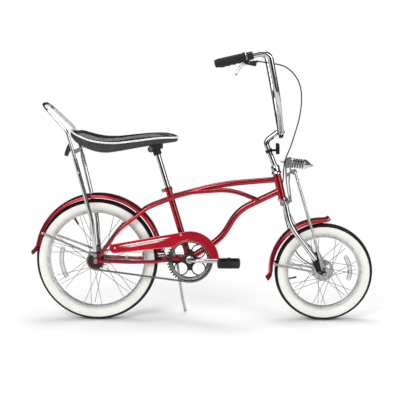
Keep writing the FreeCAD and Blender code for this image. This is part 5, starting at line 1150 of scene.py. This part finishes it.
class ChopperGrips(bpy.types.Operator):
    """Makes the ribbed grips with finger scallops below"""
    bl_idname = "chopper.grips"
    bl_label = "Grips"

    def execute(self, context):
        reach, radius = mm(sizes().grip_length), mm(sizes().grip_radius)
        along = np.concatenate([[-4.6, -4.2, -3.0, -1.0], np.linspace(1.0, reach - 6.0, 116),
                                reach + np.array([-5.0, -4.0, -0.6, 0.0])])
        angle = turns(48)
        inside = np.clip((along - 6.0) / 6.0, 0, 1) * np.clip((reach - 10.0 - along) / 6.0, 0, 1)
        ribs = (np.sin(along * 2 * math.pi / GRIP_RIB_PITCH) > 0.2) * GRIP_RIB * inside
        below = np.clip(-np.cos(angle), 0, 1) ** 1.5
        scallop = (0.5 - 0.5 * np.cos((along - 8.0) / (reach - 20.0) * 8 * math.pi)) * inside
        end_round = np.interp(along, [-4.6, -4.2, -3.0, -1.0, 1.0, reach - 5, reach - 4, reach],
                              [6, 11, 15, 17, 18.4, 18.4, 19.6, 19.6])
        slim_tip = np.interp(along, [-4.6, 34.0], [14.6, 19.6])
        body = np.minimum(np.minimum(end_round, slim_tip), np.where(inside > 0, radius - 1.6, 19.6))
        rows = body[:, None] + ribs[:, None] * (1 - 0.7 * below) + GRIP_SCALLOP * below * scallop[:, None]
        for name, side in (("right", -1), ("left", 1)):
            tip, way = grip_line(side)
            up, across = across_to(way)
            ring = np.cos(angle)[:, None] * up + np.sin(angle)[:, None] * across
            points = tip + along[:, None, None] * way + rows[..., None] * ring
            piece("grip_" + name, shell(points), "grip", "steering", sharp=50.0,
                  stands_for=["grips"] if name == "right" else [])
        return {"FINISHED"}


class ChopperBrake(bpy.types.Operator):
    """Makes the brake lever with its perch and barrel"""
    bl_idname = "chopper.brake"
    bl_label = "Brake"

    def execute(self, context):
        tip, way = grip_line(-1)
        start = tip + way * (mm(sizes().grip_length) + 6.0)
        band = [(0, 11.2), (0, 15.0), (1.2, 16.1), (22.8, 16.1), (24, 15.0), (24, 11.2)]
        clamp = lathe(band, start, way, 40, closed=True)
        knuckle = slab(rounded(46.0, 17.0, 6.0), start + (15.0, 10.0, -25.0), (1, 0, -0.22), (0.22, 0, 1),
                       17.0)
        barrel = lathe([(0, 4.0), (5, 4.6), (12, 4.6), (13, 3.6), (15, 3.6), (16, 4.4), (25, 4.2), (27, 3.0)],
                       start + (19.0, 7.6, -20.2), (24.0, 10.0, 2.0), 16)
        piece("lever_perch", gathered([clamp, knuckle, barrel]), "plastic", "steering",
              bevel=0.6, stands_for=["brake_lever"])
        share = np.linspace(0, 1, 26)[:, None]
        pivot, bend, end = start + np.array([(10.0, 3.0, -22.0), (-26.0, -3.0, -24.0), (-42.0, -8.0, -72.0)])
        path = pivot * (1 - share) ** 2 + 2 * bend * share * (1 - share) + end * share ** 2
        radius = np.interp(share[:, 0], [0, 0.1, 0.85, 0.95, 1.0], [6.0, 6.4, 4.6, 5.0, 2.2])
        pin = lathe([(-10, 3.0), (10, 3.0)], pivot, SIDE, 16)
        blade = tube(path, radius, 16, start=SIDE)
        piece("lever_blade", gathered([blade, pin]), "alloy", "steering")
        return {"FINISHED"}


# Small parts on the frame and fork

GUARD_FACE = -59.6
GUARD_UPPER, GUARD_LOWER = 119.2, 84.3
REFLECTOR_TILT = 20.0


def arc_line(centre, radius, first, last, steps, out):
    """A line round a place, its angle from forward to up."""
    turn = np.radians(np.linspace(first, last, steps))
    return centre + np.stack([radius * np.cos(turn), np.full(steps, out), radius * np.sin(turn)], axis=-1)


def edge_beads(paths):
    """Thin rods along the edges of sheet metal."""
    return gathered([tube(path, 1.5, 8, start=SIDE) for path in paths])


class ChopperBeads(bpy.types.Operator):
    """Makes the rolled edges of the fenders and of the chain guard, and the guard's stripes"""
    bl_idname = "chopper.beads"
    bl_label = "Beads and stripes"

    def execute(self, context):
        for name, body, centre, radius, out, first, last in (
                ("rear", "frame", (8.0, 0.0, 264.0), 251.0, 33.4, 168.0, 6.0),
                ("front", "steering", (932.2, 0.0, 207.9), 203.5, 32.4, 180.0, 89.0)):
            edges = [arc_line(np.array(centre), radius, first, last, 90, side * out) for side in (-1, 1)]
            piece(name + "_fender_beads", edge_beads(edges), "paint", body)

        rear_top, rear_low = REAR + (66.0, GUARD_FACE, 69.2), REAR + (76.0, GUARD_FACE, 34.2)
        upper = np.concatenate([[rear_top], arc_line(BRACKET, GUARD_UPPER, 100.0, 2.0, 60, GUARD_FACE)])
        lower = np.concatenate([[rear_low], arc_line(BRACKET, GUARD_LOWER, 138.0, 3.0, 60, GUARD_FACE)])
        piece("guard_beads", edge_beads([upper, lower]), "guard_paint_painted_light", "frame")

        stripes = []
        share = np.linspace(0, 1, 24)[:, None]
        for start, end, thick, rise in (
                (0.10, 0.80, 2.2, 5.0), (0.16, 0.74, 1.1, -1.0), (0.22, 0.68, 1.1, -5.0)):
            along = start + (end - start) * share
            path = rear_top + (upper[1] - rear_top) * along + (0, -0.1, rise - 17.0)
            width = thick * np.clip(np.minimum(share, 1 - share)[:, 0] * 8, 0.15, 1.0)
            stripes.append(tube(path, width, 8, start=SIDE, flatten=0.25))
        piece("guard_stripes", gathered(stripes), "stripe", "frame")
        return {"FINISHED"}


# Left bolt heads, from the axle: the place, then radius, height, sides and washer
FRAME_BOLTS = [((-222.5, 39.2, 114.0), 5.2, 3.4, 16), ((-1.6, 69.3, 25.0), 6.0, 3.4, 6, 7.5),
               ((0.0, 73.4, 0.0), 5.4, 8.4, 16), ((-58.0, 119.5, 372.0), 4.6, 3.2, 16)]
FORK_BOLTS = [((-205.0, 38.2, 36.0), 5.2, 3.4, 16), ((0.0, 75.6, 0.0), 5.4, 6.4, 16),
              ((-19.0, 69.3, 10.0), 5.6, 3.4, 6), ((-4.0, 72.5, 20.0), 5.6, 3.4, 6)]


class ChopperHardware(bpy.types.Operator):
    """Makes the bolts, nuts and washers, and the ribs on the fork's ends"""
    bl_idname = "chopper.hardware"
    bl_label = "Hardware"

    def execute(self, context):
        frame_bolts = sum([bolt_pair(REAR + place, *form) for place, *form in FRAME_BOLTS], [])
        frame_bolts += bolt_pair(seat_point(300.0, -22.0, 6.3), 5.6, 5.0, 6, 7.2)
        frame_bolts += bolt(REAR + (80.0, -59.7, 56.0), -SIDE, 4.4, 2.4, 16)
        frame_bolts += bolt(seat_point(109.5, 0.0, -59.7), -SIDE, 4.4, 2.4, 16)
        piece("frame_bolts", gathered(frame_bolts), "alloy", "frame")

        fork_bolts = sum([bolt_pair(FRONT + place, *form) for place, *form in FORK_BOLTS], [])
        fork_bolts += bolt_pair(steering_point(-17.0, 10.0, 63.0), 5.0, 2.6, 16)
        fork_bolts += bolt_pair(steering_point(252.0, 55.0, 15.0), 6.0, 5.0, 6, 7.6)

        drops = []
        outline = [(909, 210), (922, 205), (931, 216), (919, 276), (885, 267)]
        for side in (-1, 1):
            drops.append(slab(outline, (0, side * 61.0 - 2.2, 0), (1, 0, 0), (0, 0, 1), -4.4))
            for place in np.linspace(0.14, 0.86, 4):
                top = (885 + 34 * place, side * 63.4, 265 + 8 * place)
                low = (911 + 16 * place, side * 63.4, 216 + 3 * place)
                drops.append(tube(np.linspace(top, low, 6), 1.1, 8, start=SIDE))
        piece("fork_drop_ribs", gathered(drops), "black", "steering", bevel=0.6)
        piece("fork_bolts", gathered(fork_bolts), "chrome", "steering")
        return {"FINISHED"}


class ChopperReflectors(bpy.types.Operator):
    """Makes the lenses of the front and rear reflectors, and the rear one's rim"""
    bl_idname = "chopper.reflectors"
    bl_label = "Reflectors"

    def execute(self, context):
        tilt = math.radians(REFLECTOR_TILT)
        back = (-math.cos(tilt), 0.0, math.sin(tilt))
        centre = REAR + (-120.0, 0.0, 457.0)
        dome = [(-0.5, 23.0), (0.8, 23.4), (2.0, 22.4), (3.0, 18.0), (3.6, 10.0), (3.8, 1.0)]
        piece("rear_reflector_lens", lathe(dome, centre, back, 48), "red_lens", "frame")
        rim = [(-2.0, 25.9), (-2.0, 26.6), (1.4, 26.6), (2.0, 25.6), (1.4, 23.6), (-0.5, 23.4)]
        piece("rear_reflector_rim", lathe(rim, centre, back, 48, closed=True), "plastic", "frame")
        plate = slab(rounded(68.0, 34.0, 4.0), (755.2, 0.0, 714.0), SIDE, (0, 0, 1), 1.8)
        piece("front_reflector_lens", plate, "clear_lens", "steering", bevel=0.5)
        return {"FINISHED"}


STEPS = ("stage", "frame_finish", "tyres", "wheel_parts", "chain", "drive_parts", "pedals", "seat", "grips",
         "brake", "beads", "hardware", "reflectors")


class ChopperPanel(bpy.types.Panel):
    """Lists the sizes, colours and steps of the bicycle's finish"""
    bl_idname = "VIEW3D_PT_chopper"
    bl_label = "Chopper bicycle"
    bl_space_type = "VIEW_3D"
    bl_region_type = "UI"
    bl_category = "Chopper"

    def draw(self, context):
        layout = self.layout
        for group in (context.scene.chopper_sizes, context.scene.chopper_colours):
            box = layout.box()
            for name in group.__annotations__:
                box.prop(group, name)
        for step in STEPS:
            layout.operator("chopper." + step)


CLASSES = (ChopperSizes, ChopperColours, ChopperStage, ChopperFrameFinish, ChopperTyres, ChopperWheelParts,
           ChopperChain, ChopperDriveParts, ChopperPedals, ChopperSeat, ChopperGrips, ChopperBrake,
           ChopperBeads, ChopperHardware, ChopperReflectors, ChopperPanel)


def register():
    for item in CLASSES:
        bpy.utils.register_class(item)
    bpy.types.Scene.chopper_sizes = PointerProperty(type=ChopperSizes)
    bpy.types.Scene.chopper_colours = PointerProperty(type=ChopperColours)


def unregister():
    del bpy.types.Scene.chopper_sizes
    del bpy.types.Scene.chopper_colours
    for item in reversed(CLASSES):
        bpy.utils.unregister_class(item)


def main():
    register()
    for step in STEPS:
        getattr(bpy.ops.chopper, step)()


if __name__ == "__main__":
    main()
